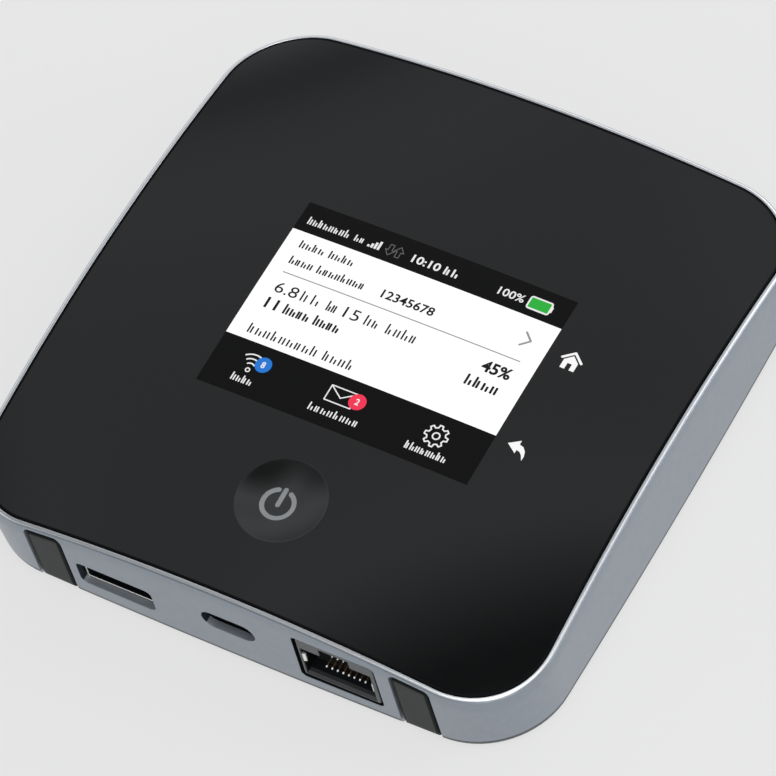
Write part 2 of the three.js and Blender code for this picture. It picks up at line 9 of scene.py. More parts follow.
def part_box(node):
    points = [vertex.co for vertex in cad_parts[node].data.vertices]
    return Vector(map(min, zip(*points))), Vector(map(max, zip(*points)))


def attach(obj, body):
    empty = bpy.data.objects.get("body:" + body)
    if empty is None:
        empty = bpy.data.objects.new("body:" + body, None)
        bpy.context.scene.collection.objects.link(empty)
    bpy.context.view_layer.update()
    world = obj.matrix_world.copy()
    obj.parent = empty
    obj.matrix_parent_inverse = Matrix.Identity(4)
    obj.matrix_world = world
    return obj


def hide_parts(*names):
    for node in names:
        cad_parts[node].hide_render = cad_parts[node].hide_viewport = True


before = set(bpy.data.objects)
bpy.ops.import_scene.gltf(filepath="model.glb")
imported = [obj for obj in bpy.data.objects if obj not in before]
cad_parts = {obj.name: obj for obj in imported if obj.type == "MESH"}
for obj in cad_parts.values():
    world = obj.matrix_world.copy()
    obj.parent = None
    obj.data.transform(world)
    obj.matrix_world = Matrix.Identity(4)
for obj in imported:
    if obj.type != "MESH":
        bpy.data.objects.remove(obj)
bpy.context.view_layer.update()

# Shapes are worked out in millimetres and made in metres. +Z is up and the ports face -Y.
MM = 0.001


def span(node):
    """The lowest and highest corner of a CAD node, in millimetres."""
    low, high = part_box(node)
    return [c / MM for c in low], [c / MM for c in high]


# ---- Driving dimensions, which repeat the CAD's ----

HALF = span("side_frame")[1][0]
CORNER_RADIUS = 14.5
BOW = 0.75
CROWN = 20.35
DOME_FALL = 0.00051
DOME_TWIST = 5.6e-7
WALL = 1.65
RIM_INSET = 1.05
SHOULDER_INSET = 0.27
SHOULDER = 1.9
RIM_CHAMFER = 0.28
RIM_LAND = 0.38
REBATE = 1.9
BAND_BASE = 0.35
BASE_ROLL_IN = 1.1
BASE_ROLL_UP = 1.75
GAP = 0.3
COVER_THICKNESS = 1.5
FRONT = -HALF

DISPLAY_LOW, DISPLAY_HIGH = span("display_lens")
DISPLAY_X = (DISPLAY_LOW[0] + DISPLAY_HIGH[0]) / 2
DISPLAY_Y = (DISPLAY_LOW[1] + DISPLAY_HIGH[1]) / 2
DISPLAY_HALF_X = (DISPLAY_HIGH[0] - DISPLAY_LOW[0]) / 2 + GAP / 2
DISPLAY_HALF_Y = (DISPLAY_HIGH[1] - DISPLAY_LOW[1]) / 2 + GAP / 2
DISPLAY_XS = (DISPLAY_X - DISPLAY_HALF_X, DISPLAY_X + DISPLAY_HALF_X)
DISPLAY_YS = (DISPLAY_Y - DISPLAY_HALF_Y, DISPLAY_Y + DISPLAY_HALF_Y)

BUTTON_LOW, BUTTON_HIGH = span("power_button")
BUTTON_X = (BUTTON_LOW[0] + BUTTON_HIGH[0]) / 2
BUTTON_Y = (BUTTON_LOW[1] + BUTTON_HIGH[1]) / 2
BUTTON_RADIUS = 7.7
BUTTON_DISH = 1.0
BUTTON_STEPS = 128
HAIRLINE = 0.03


def dome(x, y):
    return CROWN - DOME_FALL * (x * x + y * y) - DOME_TWIST * x * x * y * y


def dome_normal(x, y):
    slope_x = -2 * DOME_FALL * x - 2 * DOME_TWIST * x * y * y
    slope_y = -2 * DOME_FALL * y - 2 * DOME_TWIST * x * x * y
    return Vector((-slope_x, -slope_y, 1)).normalized()


RIM_Z = dome(HALF - RIM_INSET, 0)


def outline(inset, bow, side_steps=24, arc_steps=18):
    """The rounded square at a distance in from the side, counter-clockwise, with its sides bowed."""
    straight = HALF - CORNER_RADIUS
    radius = CORNER_RADIUS - inset
    corner = []
    for i in range(side_steps):
        corner.append((straight + radius, straight * (2 * i / side_steps - 1)))
    for i in range(arc_steps):
        angle = math.pi / 2 * i / arc_steps
        corner.append((straight + radius * math.cos(angle), straight + radius * math.sin(angle)))
    points = []
    for quarter in range(4):
        c, s = ((1, 0), (0, 1), (-1, 0), (0, -1))[quarter]
        points += [(x * c - y * s, x * s + y * c) for x, y in corner]
    pull = bow / HALF**3
    return [(x - x * pull * y * y, y - y * pull * x * x) for x, y in points]


def rim_fall(x, y):
    return max(RIM_Z - dome(x, y), 0)


def level(inset, z, follow=0.0):
    """One ring of the body. follow 0 is level and bowed; follow 1 falls with the dome and is straight."""
    ring = []
    for x, y in outline(inset, BOW * (1 - follow)):
        ring.append((x, y, z - follow * rim_fall(x, y)))
    return ring


def shoulder(t):
    """Inset and mid-side height on the curve from the flat side to the rim chamfer, t from 0 to 1."""
    low, high = RIM_Z - RIM_CHAMFER - SHOULDER, RIM_Z - RIM_CHAMFER
    inset = 2 * t * (1 - t) * 0.03 + t * t * SHOULDER_INSET
    z = (1 - t) ** 2 * low + 2 * t * (1 - t) * (low + 0.55 * SHOULDER) + t * t * high
    return inset, z


def base_roll(t):
    """(inset, height) on the roll between the band's lowest edge and its flat side, for t from 0 to 1."""
    angle = math.pi / 2 * t
    return BASE_ROLL_IN * (1 - math.sin(angle)), BAND_BASE + BASE_ROLL_UP * (1 - math.cos(angle))


def front_y(x, z):
    """The y of the band's outer face at a place on the front."""
    bowed = FRONT + BOW * (x / HALF) ** 2
    fall = rim_fall(x, HALF - RIM_INSET)
    base_top = BAND_BASE + BASE_ROLL_UP
    side_top = RIM_Z - RIM_CHAMFER - SHOULDER - fall
    if z < base_top:
        up = min(max((base_top - z) / BASE_ROLL_UP, 0), 1)
        return bowed + BASE_ROLL_IN * (1 - math.sqrt(1 - up * up))
    if z < side_top:
        return bowed + (FRONT - bowed) * (z - base_top) / (side_top - base_top)
    steps = [shoulder(i / 20) for i in range(21)]
    for (inset_a, z_a), (inset_b, z_b) in zip(steps, steps[1:]):
        if z + fall <= z_b:
            return FRONT + inset_a + (inset_b - inset_a) * (z + fall - z_a) / (z_b - z_a)
    return FRONT + SHOULDER_INSET


# ---- Mesh helpers ----


def new_object(name, points, faces, sharp=math.radians(32)):
    mesh = bpy.data.meshes.new(name)
    mesh.from_pydata([(x * MM, y * MM, z * MM) for x, y, z in points], [], faces)
    mesh.update()
    finish_mesh(mesh, sharp)
    thing = bpy.data.objects.new(name, mesh)
    bpy.context.scene.collection.objects.link(thing)
    return thing


def finish_mesh(mesh, sharp=math.radians(32)):
    mesh.shade_smooth()
    mesh.set_sharp_from_angle(angle=sharp)


def skin(rings, looped=False):
    """Points and faces that join rings of equal length: round a loop, or capped at both ends."""
    count = len(rings[0])
    points = [p for ring in rings for p in ring]
    faces = []
    spans = len(rings) if looped else len(rings) - 1
    for r in range(spans):
        low = r * count
        high = (r + 1) % len(rings) * count
        for i in range(count):
            j = (i + 1) % count
            faces.append((low + i, low + j, high + j, high + i))
    if not looped:
        last = (len(rings) - 1) * count
        faces.append(tuple(reversed(range(count))))
        faces.append(tuple(range(last, last + count)))
    return points, faces


def ring_object(name, rings, looped=False, sharp=math.radians(32)):
    return new_object(name, *skin(rings, looped), sharp)


def carve(thing, cutters, operation="DIFFERENCE"):
    """Cuts (or joins) solids into a piece for good, and removes the tools."""
    for cutter in cutters:
        step = thing.modifiers.new("cut", "BOOLEAN")
        step.operation = operation
        step.solver = "EXACT"
        step.object = cutter
    graph = bpy.context.evaluated_depsgraph_get()
    mesh = bpy.data.meshes.new_from_object(thing.evaluated_get(graph))
    thing.modifiers.clear()
    thing.data = mesh
    finish_mesh(mesh)
    for cutter in cutters:
        bpy.data.objects.remove(cutter)
    return thing


def join(name, things):
    """Makes one object of several, whose meshes stay separate shells."""
    mesh = bpy.data.meshes.new(name)
    sheet = bmesh.new()
    materials = []
    for thing in things:
        part = bmesh.new()
        part.from_mesh(thing.data)
        offset = len(materials)
        for face in part.faces:
            face.material_index += offset
        part.to_mesh(thing.data)
        part.free()
        sheet.from_mesh(thing.data)
        materials += list(thing.data.materials) or [None]
    sheet.to_mesh(mesh)
    sheet.free()
    for entry in materials:
        mesh.materials.append(entry)
    for thing in things:
        bpy.data.objects.remove(thing)
    finish_mesh(mesh)
    whole = bpy.data.objects.new(name, mesh)
    bpy.context.scene.collection.objects.link(whole)
    return whole


def rounded_rectangle(x0, x1, z0, z1, radius, steps=6):
    points = []
    corners = ((x1 - radius, z0 + radius, -90), (x1 - radius, z1 - radius, 0))
    corners += ((x0 + radius, z1 - radius, 90), (x0 + radius, z0 + radius, 180))
    for cx, cz, start in corners:
        for i in range(steps + 1):
            angle = math.radians(start + 90 * i / steps)
            points.append((cx + radius * math.cos(angle), cz + radius * math.sin(angle)))
    return points


def block(name, xs, ys, zs, radius=0.1, edge=0.08):
    """A box with rounded upright corners and softened top and bottom edges."""
    rings = []
    for inset, z in ((edge, zs[0]), (0, zs[0] + edge), (0, zs[1] - edge), (edge, zs[1])):
        shape = rounded_rectangle(
            xs[0] + inset, xs[1] - inset, ys[0] + inset, ys[1] - inset, max(radius - inset, 0.02), 4
        )
        rings.append([(x, y, z) for x, y in shape])
    return ring_object(name, rings)


def turned(profile, centre, steps=32):
    """Rings about a line along y, one for each (radius, y) of the profile."""
    x, z = centre
    turn = [2 * math.pi * i / steps for i in range(steps)]
    return [[(x + r * math.cos(a), y, z + r * math.sin(a)) for a in turn] for r, y in profile]


def rod(name, radius, centre, ys, steps=32, edge=0.06):
    """A round bar along y with softened ends."""
    y0, y1 = ys
    profile = [(radius - edge, y0), (radius, y0 + edge), (radius, y1 - edge), (radius - edge, y1)]
    return ring_object(name, turned(profile, centre, steps))


# ---- Materials ----


def material(name, colour, roughness, metallic=0.0, grain=3000, bump=0.02, mottle=0.08, **sockets):
    """A finish with fine grain: colour and roughness drift a little over a slightly uneven surface."""
    made = bpy.data.materials.new(name)
    made.use_nodes = True
    nodes, links = made.node_tree.nodes, made.node_tree.links
    shader = nodes["Principled BSDF"]
    shader.inputs["Metallic"].default_value = metallic
    for socket, value in sockets.items():
        shader.inputs[socket.replace("_", " ")].default_value = value
    place = nodes.new("ShaderNodeTexCoord").outputs["Object"]
    broad = nodes.new("ShaderNodeTexNoise")
    broad.inputs["Scale"].default_value = grain / 12
    broad.inputs["Detail"].default_value = 3
    fine = nodes.new("ShaderNodeTexNoise")
    fine.inputs["Scale"].default_value = grain
    fine.inputs["Detail"].default_value = 2
    links.new(place, broad.inputs["Vector"])
    links.new(place, fine.inputs["Vector"])
    ramp = nodes.new("ShaderNodeValToRGB")
    ramp.color_ramp.elements[0].position = 0.3
    ramp.color_ramp.elements[1].position = 0.7
    ramp.color_ramp.elements[0].color = [c * (1 - mottle) for c in colour] + [1]
    ramp.color_ramp.elements[1].color = [min(c * (1 + mottle), 1) for c in colour] + [1]
    links.new(broad.outputs["Fac"], ramp.inputs["Fac"])
    links.new(ramp.outputs["Color"], shader.inputs["Base Color"])
    spread = nodes.new("ShaderNodeMapRange")
    spread.inputs["To Min"].default_value = roughness * 0.9
    spread.inputs["To Max"].default_value = roughness * 1.1
    links.new(fine.outputs["Fac"], spread.inputs["Value"])
    links.new(spread.outputs["Result"], shader.inputs["Roughness"])
    relief = nodes.new("ShaderNodeBump")
    relief.inputs["Strength"].default_value = bump
    relief.inputs["Distance"].default_value = 0.0001
    links.new(fine.outputs["Fac"], relief.inputs["Height"])
    links.new(relief.outputs["Normal"], shader.inputs["Normal"])
    return made


def lit(name, colour, glow):
    """A mark on the display: matte-dark by itself, and glowing with its own colour."""
    made = material(name, [c * 0.05 for c in colour], 0.35, bump=0, mottle=0.02)
    shader = made.node_tree.nodes["Principled BSDF"]
    shader.inputs["Emission Color"].default_value = (*colour, 1)
    shader.inputs["Emission Strength"].default_value = glow
    shader.inputs["Specular IOR Level"].default_value = 0.1
    return made


BAND = material("band_metal", (0.285, 0.315, 0.355), 0.36, 0.85, grain=9000, bump=0.05, mottle=0.03)
# Lighter copies of the band metal for the rim's polished chamfer and its land: painted highlight.
BAND_BRIGHT = material("band_chamfer_highlight", (0.86, 0.88, 0.90), 0.3, 0.9, grain=6000, bump=0.01, mottle=0.02)
BAND_LAND_HIGHLIGHT = material("band_land_highlight", (0.67, 0.69, 0.71), 0.34, 0.9, grain=6000, bump=0.02, mottle=0.02)
# Painted highlight: a lighter copy of the band metal on the edges of the USB openings.
EDGE_BRIGHT = material("cut_edge_highlight", (0.30, 0.33, 0.37), 0.4, 0.85, grain=6000, bump=0.01, mottle=0.02)
# Painted shade: a dark copy of the band metal for the lowest rows of the base roll, standing in for the
# contact shadow.
BAND_BASE_SHADE = material("band_base_shade", (0.085, 0.092, 0.10), 0.45, 0.7, grain=6000, bump=0.03)
# Near-black painted shade for hollows, the rebate wall behind the rim, the top face's edge and the insides of
# shells and openings; at the jack's core it is also the insert's black plastic.
SHADE_BLACK = material(
    "painted_shade_black", (0.004, 0.005, 0.006), 0.6, grain=6000, bump=0.03, Specular_IOR_Level=0.06
)
# Painted shade: near-black walls inside the USB openings.
CUT_WALL_SHADE = material("cut_wall_shade", (0.018, 0.022, 0.03), 0.5, 0.2, grain=6000, bump=0.04, Specular_IOR_Level=0.3)
# Painted light: a lighter metal for the upward-facing floors of the USB openings and the walls of the port
# covers' recesses.
LIT_CUT_FLOOR = material("lit_cut_floor", (0.40, 0.43, 0.47), 0.45, 0.7, grain=6000, bump=0.04, mottle=0.05)
GLOSS = material("gloss_black", (0.0035, 0.0037, 0.004), 0.16, grain=400, bump=0.0, mottle=0.05)
CAP_GLOSS = material(
    "cap_gloss", (0.004, 0.0042, 0.0045), 0.18, grain=400, bump=0.0, mottle=0.05, Specular_IOR_Level=0.9
)
PANEL = material("display_black", (0.004, 0.004, 0.004), 0.3, grain=400, bump=0.0, Specular_IOR_Level=0.12)
WHITE = lit("screen_white", (1.0, 1.0, 1.0), 1.0)
UI_WHITE = lit("screen_type_white", (0.85, 0.85, 0.85), 0.95)
UI_GREY = lit("screen_grey", (0.33, 0.33, 0.33), 0.9)
UI_FAINT = lit("screen_faint", (0.13, 0.13, 0.13), 0.9)
UI_INK = lit("screen_ink", (0.012, 0.012, 0.012), 1.0)
UI_GREEN = lit("screen_green", (0.03, 0.42, 0.05), 1.0)
UI_BLUE = lit("screen_blue", (0.02, 0.18, 0.62), 1.0)
UI_RED = lit("screen_red", (0.85, 0.04, 0.09), 1.0)
KEY_WHITE = lit("key_white", (0.90, 0.90, 0.90), 1.0)
ICON_GREY = material("icon_grey", (0.27, 0.28, 0.29), 0.45, grain=4000, bump=0.01)
RUBBER = material(
    "flap_rubber", (0.010, 0.012, 0.012), 0.5, grain=5000, bump=0.12, mottle=0.2, Specular_IOR_Level=0.25
)
# Painted shade: a darker copy of the flap rubber for the flap's sides and bevel.
RUBBER_EDGE_SHADE = material(
    "rubber_edge_shade", (0.004, 0.005, 0.006), 0.6, grain=5000, bump=0.08, Specular_IOR_Level=0.1
)
REAR = material("rear_plastic", (0.035, 0.038, 0.042), 0.55, grain=4000, bump=0.35, mottle=0.1)
CHASSIS = material("chassis_plastic", (0.018, 0.019, 0.021), 0.6, grain=3500, bump=0.2)
STEEL = material("steel", (0.50, 0.51, 0.53), 0.3, 1.0, grain=7000, bump=0.03)
TIN = material("tin", (0.56, 0.57, 0.59), 0.38, 0.95, grain=5000, bump=0.05)
JACK_GREY = material("jack_shell", (0.095, 0.10, 0.105), 0.45, 0.5, grain=5000, bump=0.04)
JACK_SHADE = material("jack_shade", (0.015, 0.016, 0.017), 0.6, 0.3, grain=5000, bump=0.04)
# Painted shade: a darkened metal for the USB-C shell's front lip.
SHADED_NICKEL = material("nickel_in_painted_shade", (0.05, 0.055, 0.06), 0.4, 0.8, grain=6000, bump=0.03)
# Painted shade: a darkened copy of the gold for the jack's contact wires.
SHADED_GOLD = material("gold_in_painted_shade", (0.20, 0.12, 0.05), 0.45, 0.8, grain=6000, bump=0.02)
GOLD = material("gold", (0.80, 0.58, 0.25), 0.25, 1.0, grain=6000, bump=0.02)
# Pale metal for the antenna sockets' cores, and a painted highlight on the jack's contact beads, its springs
# and the USB-A shell's front lip.
PALE_AND_HIGHLIGHT = material("pale_and_painted_highlight", (0.85, 0.84, 0.80), 0.3, 0.6, grain=6000, bump=0.01)
PORT_BLACK = material("port_plastic", (0.010, 0.011, 0.012), 0.5, grain=4000, bump=0.06)
BOARD = material("board_green", (0.010, 0.075, 0.040), 0.4, grain=1800, bump=0.1, mottle=0.25)
FLEX = material("flex_film", (0.28, 0.12, 0.025), 0.4, grain=1500, bump=0.05, mottle=0.15)
GUIDE = material("clear_plastic", (0.75, 0.78, 0.80), 0.3, grain=2500, bump=0.03)
GRAPHITE = material("graphite", (0.05, 0.052, 0.055), 0.45, 0.5, grain=3500, bump=0.15)
WRAP = material("battery_wrap", (0.028, 0.029, 0.032), 0.45, grain=2600, bump=0.12)
LABEL = material("battery_label", (0.55, 0.56, 0.57), 0.5, grain=3000, bump=0.02)
LCD = material("lcd_glass", (0.02, 0.022, 0.025), 0.15, grain=900, bump=0.0)
PART_BLACK = material("component_black", (0.02, 0.02, 0.022), 0.45, grain=3000, bump=0.1)


def paint(thing, finish):
    thing.data.materials.clear()
    thing.data.materials.append(finish)


def place(thing, body, finish=None, slot=None, node=None):
    """Finishes a piece: its look, the body it rides on and the CAD node it stands for. slot is not used."""
    if finish:
        paint(thing, finish)
    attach(thing, body)
    if node:
        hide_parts(node)
    return thing


# ---- Band ----

RJ45_LOW, RJ45_HIGH = span("rj45_shield")
USB_A_LOW, USB_A_HIGH = span("usb_a_shell")
USB_C_LOW, USB_C_HIGH = span("usb_c_shell")
RJ45_CUT = (RJ45_LOW[0] - 0.4, RJ45_HIGH[0] + 0.4, RJ45_LOW[2] - 0.4, RJ45_HIGH[2] + 0.4, 0.9)
USB_A_CUT = (USB_A_LOW[0] - 0.5, USB_A_HIGH[0] + 0.5, USB_A_LOW[2] - 0.25, USB_A_HIGH[2] + 0.25, 1.2)
USB_C_CUT = (USB_C_LOW[0] - 0.4, USB_C_HIGH[0] + 0.4, USB_C_LOW[2] - 0.55, USB_C_HIGH[2] + 0.45, 2.1)
EDGE_BREAK = 0.08
LIT_DEPTH = 1.35
MOUTH_DEPTH = 3.0
BAND_FINISHES = [BAND, BAND_BRIGHT, BAND_LAND_HIGHLIGHT, SHADE_BLACK, BAND_BASE_SHADE]
BAND_FINISHES += [CUT_WALL_SHADE, LIT_CUT_FLOOR, EDGE_BRIGHT]
FLAP_INNER = span("port_cover_right")[0][0]
FLAP_OUTER = span("port_cover_right")[1][0]
FLAP_BELOW = 1.15
FLAP_ROUND = 1.0
FLAP_PIVOT_Y, FLAP_PIVOT_Z, FLAP_PIVOT_R = -51.7, 1.4, 0.65


def mouth(shape_at, wall, edge):
    """A tool for a port opening, with a small flare at the band's face. shape_at(margin) is its outline."""
    flare = [(x, -60.0, z) for x, z in shape_at(EDGE_BREAK)]
    lip = [(x, front_y(x, z) - 0.01, z) for x, z in shape_at(EDGE_BREAK)]
    throat = [(x, front_y(x, z) + EDGE_BREAK, z) for x, z in shape_at(0)]
    shade = [(x, front_y(x, z) + LIT_DEPTH, z) for x, z in shape_at(0)]
    inner = [(x, FRONT + MOUTH_DEPTH, z) for x, z in shape_at(0)]
    tool = ring_object("tool", [inner, shade, throat, lip, flare])
    # Rows by depth: past LIT_DEPTH near-black painted shade, then the wall finish, then the edge finish to
    # the flare.
    for polygon in tool.data.polygons:
        row = min(polygon.index // len(inner), 3)
        polygon.material_index = BAND_FINISHES.index((SHADE_BLACK, wall, edge, edge)[row])
    return tool


def light_up_floors(band):
    """The floors of the USB openings, which face up, get a lighter metal as painted light; their other walls
    keep the near-black painted shade.
    """
    for polygon in band.data.polygons:
        if BAND_FINISHES[polygon.material_index] == CUT_WALL_SHADE and polygon.normal.z > 0.7:
            polygon.material_index = BAND_FINISHES.index(LIT_CUT_FLOOR)


def cut_shape(cut):
    """A cutout's outline, to be drawn with a margin round it."""
    x0, x1, z0, z1, radius = cut

    def shape(margin):
        xs, zs = (x0 - margin, x1 + margin), (z0 - margin, z1 + margin)
        return rounded_rectangle(*xs, *zs, radius + margin, 8)

    return shape


def flap_recess(side):
    """The outline of a port cover's recess, to be drawn with a margin round it."""
    return lambda margin: flap_shape(side, margin + GAP, -2.0)


def flap_top(x):
    return dome(x, HALF - RIM_INSET) - FLAP_BELOW


def flap_shape(side, margin, base):
    """The flap's outline in x and z, grown by a margin. side is -1 on the left and 1 on the right."""
    inner, outer = FLAP_INNER - margin, FLAP_OUTER + margin
    radius = max(FLAP_ROUND + margin, 0.3)
    half = []
    sides = [base + (flap_top(inner) + margin - radius - base) * i / 10 for i in range(11)]
    half += [(inner, z) for z in sides]
    for i in range(1, 9):
        angle = math.pi - math.pi / 2 * i / 8
        x = inner + radius + radius * math.cos(angle)
        half.append((x, flap_top(inner + radius) + margin - radius * (1 - math.sin(angle))))
    for i in range(1, 6):
        x = inner + radius + (outer - inner - 2 * radius) * i / 6
        half.append((x, flap_top(x) + margin))
    for i in range(9):
        angle = math.pi / 2 - math.pi / 2 * i / 8
        x = outer - radius + radius * math.cos(angle)
        half.append((x, flap_top(outer - radius) + margin - radius * (1 - math.sin(angle))))
    sides = [base + (flap_top(outer) + margin - radius - base) * i / 10 for i in range(10, -1, -1)]
    half += [(outer, z) for z in sides[1:]]
    shape = [(side * x, z) for x, z in half]
    return shape if side < 0 else list(reversed(shape))


def make_band():
    rings = [level(*base_roll(i / 8)) for i in range(9)]
    base_z, top_z = BAND_BASE + BASE_ROLL_UP, RIM_Z - RIM_CHAMFER - SHOULDER
    for i in range(1, 8):
        t = i / 8
        lower, upper = level(0, base_z), level(0, top_z, 1.0)
        rings.append([tuple(a + (b - a) * t for a, b in zip(p, q)) for p, q in zip(lower, upper)])
    rings += [level(*shoulder(i / 8), 1.0) for i in range(9)]
    chamfer_low = len(rings) - 1
    rings.append(level(SHOULDER_INSET + 0.2, RIM_Z - RIM_CHAMFER / 2, 1.0))
    rings.append(level(RIM_INSET - RIM_LAND - 0.04, RIM_Z - 0.02, 1.0))
    rings.append(level(RIM_INSET - RIM_LAND + 0.04, RIM_Z, 1.0))
    rings.append(level(RIM_INSET - 0.06, RIM_Z, 1.0))
    rings.append(level(RIM_INSET, RIM_Z - 0.05, 1.0))
    rings.append(level(RIM_INSET, RIM_Z - REBATE, 1.0))
    rings.append(level(WALL, RIM_Z - REBATE, 1.0))
    rings.append(level(WALL, BAND_BASE))
    band = ring_object("band", rings, looped=True, sharp=math.radians(18))
    for finish in BAND_FINISHES:
        band.data.materials.append(finish)
    count = len(rings[0])
    # Rows by finish: the lowest rows of the base roll in a painted contact shadow, the side in band metal,
    # the chamfer and land in lighter metal as a painted highlight, and the rebate wall behind the rim in
    # near-black painted shade.
    for polygon in band.data.polygons:
        row = polygon.index // count
        if row < 8:
            finish = BAND_BASE_SHADE
        elif row <= chamfer_low:
            finish = BAND
        elif row < chamfer_low + 3:
            finish = BAND_BRIGHT
        elif row < chamfer_low + 5:
            finish = BAND_LAND_HIGHLIGHT
        else:
            finish = SHADE_BLACK
        polygon.material_index = BAND_FINISHES.index(finish)
    # Openings: the jack's walls are near-black painted shade; the USB openings have painted-shade walls and
    # painted-highlight edges; the port covers' recesses have walls in lighter metal as painted light.
    tools = [mouth(cut_shape(RJ45_CUT), SHADE_BLACK, BAND)]
    tools += [mouth(cut_shape(cut), CUT_WALL_SHADE, EDGE_BRIGHT) for cut in (USB_A_CUT, USB_C_CUT)]
    tools += [mouth(flap_recess(side), LIT_CUT_FLOOR, BAND) for side in (-1, 1)]
    carve(band, tools)
    light_up_floors(band)
    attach(band, "housing")
    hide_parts("side_frame")
    return band


# ---- Top face, display and power button ----


def follow_dome(mesh, surface_normal, on_surface):
    """Gives the top of a glossy piece the exact slope of its surface, whatever the faces under it."""
    corner_normals = [Vector(n.vector) for n in mesh.corner_normals]
    for polygon in mesh.polygons:
        if polygon.normal.z < 0.8:
            continue
        for loop in polygon.loop_indices:
            x, y, z = mesh.vertices[mesh.loops[loop].vertex_index].co / MM
            if on_surface(x, y, z):
                corner_normals[loop] = surface_normal(x, y)
    mesh.normals_split_custom_set(corner_normals)


def on_dome(x, y, z):
    return abs(z - dome(x, y)) < 0.01


def make_top_face():
    inset = RIM_INSET + GAP * 0.75
    edge, fall = 0.3, 0.07
    fractions = [i / 36 for i in range(1, 37)]
    inner = outline(inset + edge, 0)
    outer = outline(inset, 0)

    def ring(shape, fraction, drop):
        return [(x * fraction, y * fraction, dome(x * fraction, y * fraction) - drop) for x, y in shape]

    rings = [ring(inner, f, COVER_THICKNESS) for f in fractions]
    rings.append(ring(outer, 1, COVER_THICKNESS))
    rings.append(ring(outer, 1, fall))
    rings += [ring(inner, f, 0) for f in reversed(fractions)]
    face = ring_object("top_face", rings)
    face.data.materials.append(GLOSS)
    face.data.materials.append(SHADE_BLACK)
    # Painted shade: the rows round the face's edge are near-black, hiding the edge's highlight and darkening
    # the gap to the rim.
    shaded_rim_rows = range(len(fractions) - 1, len(fractions) + 2)
    for polygon in face.data.polygons:
        polygon.material_index = 1 if polygon.index // len(outer) in shaded_rim_rows else 0
    (x0, x1), (y0, y1) = DISPLAY_XS, DISPLAY_YS
    window = rounded_rectangle(x0 - HAIRLINE, x1 + HAIRLINE, y0 - HAIRLINE, y1 + HAIRLINE, 0.05, 2)
    tools = [ring_object("tool", [[(x, y, z) for x, y in window] for z in (10, 30)])]
    hole = disc(BUTTON_X, BUTTON_Y, BUTTON_RADIUS + HAIRLINE / 3, BUTTON_STEPS)
    tools.append(ring_object("tool", [[(x, y, z) for x, y in hole] for z in (10, 30)]))
    carve(face, tools)
    follow_dome(face.data, dome_normal, on_dome)
    return place(face, "housing", None, "gloss_black", "top_cover")


def grid_slab(name, xs, ys, surface, depth, columns, rows):
    """A rectangular slab whose top lies on a surface of x and y and whose underside is parallel to it."""
    points, faces = [], []
    for drop in (0, depth):
        for j in range(rows + 1):
            for i in range(columns + 1):
                x = xs[0] + (xs[1] - xs[0]) * i / columns
                y = ys[0] + (ys[1] - ys[0]) * j / rows
                points.append((x, y, surface(x, y) - drop))
    layer = (columns + 1) * (rows + 1)

    def at(i, j):
        return j * (columns + 1) + i

    for j in range(rows):
        for i in range(columns):
            quad = (at(i, j), at(i + 1, j), at(i + 1, j + 1), at(i, j + 1))
            faces.append(quad)
            faces.append(tuple(layer + k for k in reversed(quad)))
    edge = [at(i, 0) for i in range(columns)] + [at(columns, j) for j in range(rows)]
    edge += [at(i, rows) for i in range(columns, 0, -1)] + [at(0, j) for j in range(rows, 0, -1)]
    for a, b in zip(edge, edge[1:] + edge[:1]):
        faces.append((b, a, layer + a, layer + b))
    return new_object(name, points, faces)


def make_lens():
    lens = grid_slab("display_window", DISPLAY_XS, DISPLAY_YS, dome, 1.2, 40, 30)
    follow_dome(lens.data, dome_normal, on_dome)
    return place(lens, "housing", PANEL, "display_face", "display_lens")


def button_surface(x, y):
    r = min(math.hypot(x - BUTTON_X, y - BUTTON_Y) / BUTTON_RADIUS, 1)
    return dome(x, y) - BUTTON_DISH * (1 - r * r)


def button_normal(x, y):
    step = 0.05
    slope_x = (button_surface(x + step, y) - button_surface(x - step, y)) / (2 * step)
    slope_y = (button_surface(x, y + step) - button_surface(x, y - step)) / (2 * step)
    return Vector((-slope_x, -slope_y, 1)).normalized()


def make_button():
    base = BUTTON_LOW[2]

    def ring(radius, height):
        return [(x, y, height(x, y)) for x, y in disc(BUTTON_X, BUTTON_Y, radius, BUTTON_STEPS)]

    flange = (BUTTON_HIGH[0] - BUTTON_LOW[0]) / 2
    rings = [ring(0.4, lambda x, y: base), ring(flange, lambda x, y: base)]
    rings.append(ring(flange, lambda x, y: base + 0.5))
    rings.append(ring(BUTTON_RADIUS, lambda x, y: base + 0.5))
    rings += [ring(BUTTON_RADIUS * i / 24, button_surface) for i in range(24, 0, -1)]
    button = ring_object("button_cap", rings)
    follow_dome(button.data, button_normal, lambda x, y, z: abs(z - button_surface(x, y)) < 0.01)
    return place(button, "power_button", CAP_GLOSS, "gloss_black", "power_button")


# ---- Flat marks that follow a surface ----


def prism(polygons, surface, lift, depth=0.03):
    """Points and faces of thin solids over a surface: each polygon's top stands proud by lift."""
    points, faces = [], []
    for polygon in polygons:
        area = sum(a[0] * b[1] - b[0] * a[1] for a, b in zip(polygon, polygon[1:] + polygon[:1]))
        shape = polygon if area > 0 else list(reversed(polygon))
        count, base = len(shape), len(points)
        points += [(x, y, surface(x, y) + lift) for x, y in shape]
        points += [(x, y, surface(x, y) + lift - depth) for x, y in shape]
        for triangle in tessellate_polygon([[Vector((x, y, 0)) for x, y in shape]]):
            a, b, c = triangle
            turn = (shape[b][0] - shape[a][0]) * (shape[c][1] - shape[a][1])
            turn -= (shape[b][1] - shape[a][1]) * (shape[c][0] - shape[a][0])
            top = (a, b, c) if turn > 0 else (a, c, b)
            faces.append(tuple(base + k for k in top))
            faces.append(tuple(base + count + k for k in reversed(top)))
        for i in range(count):
            j = (i + 1) % count
            faces.append((base + j, base + i, base + count + i, base + count + j))
    return points, faces


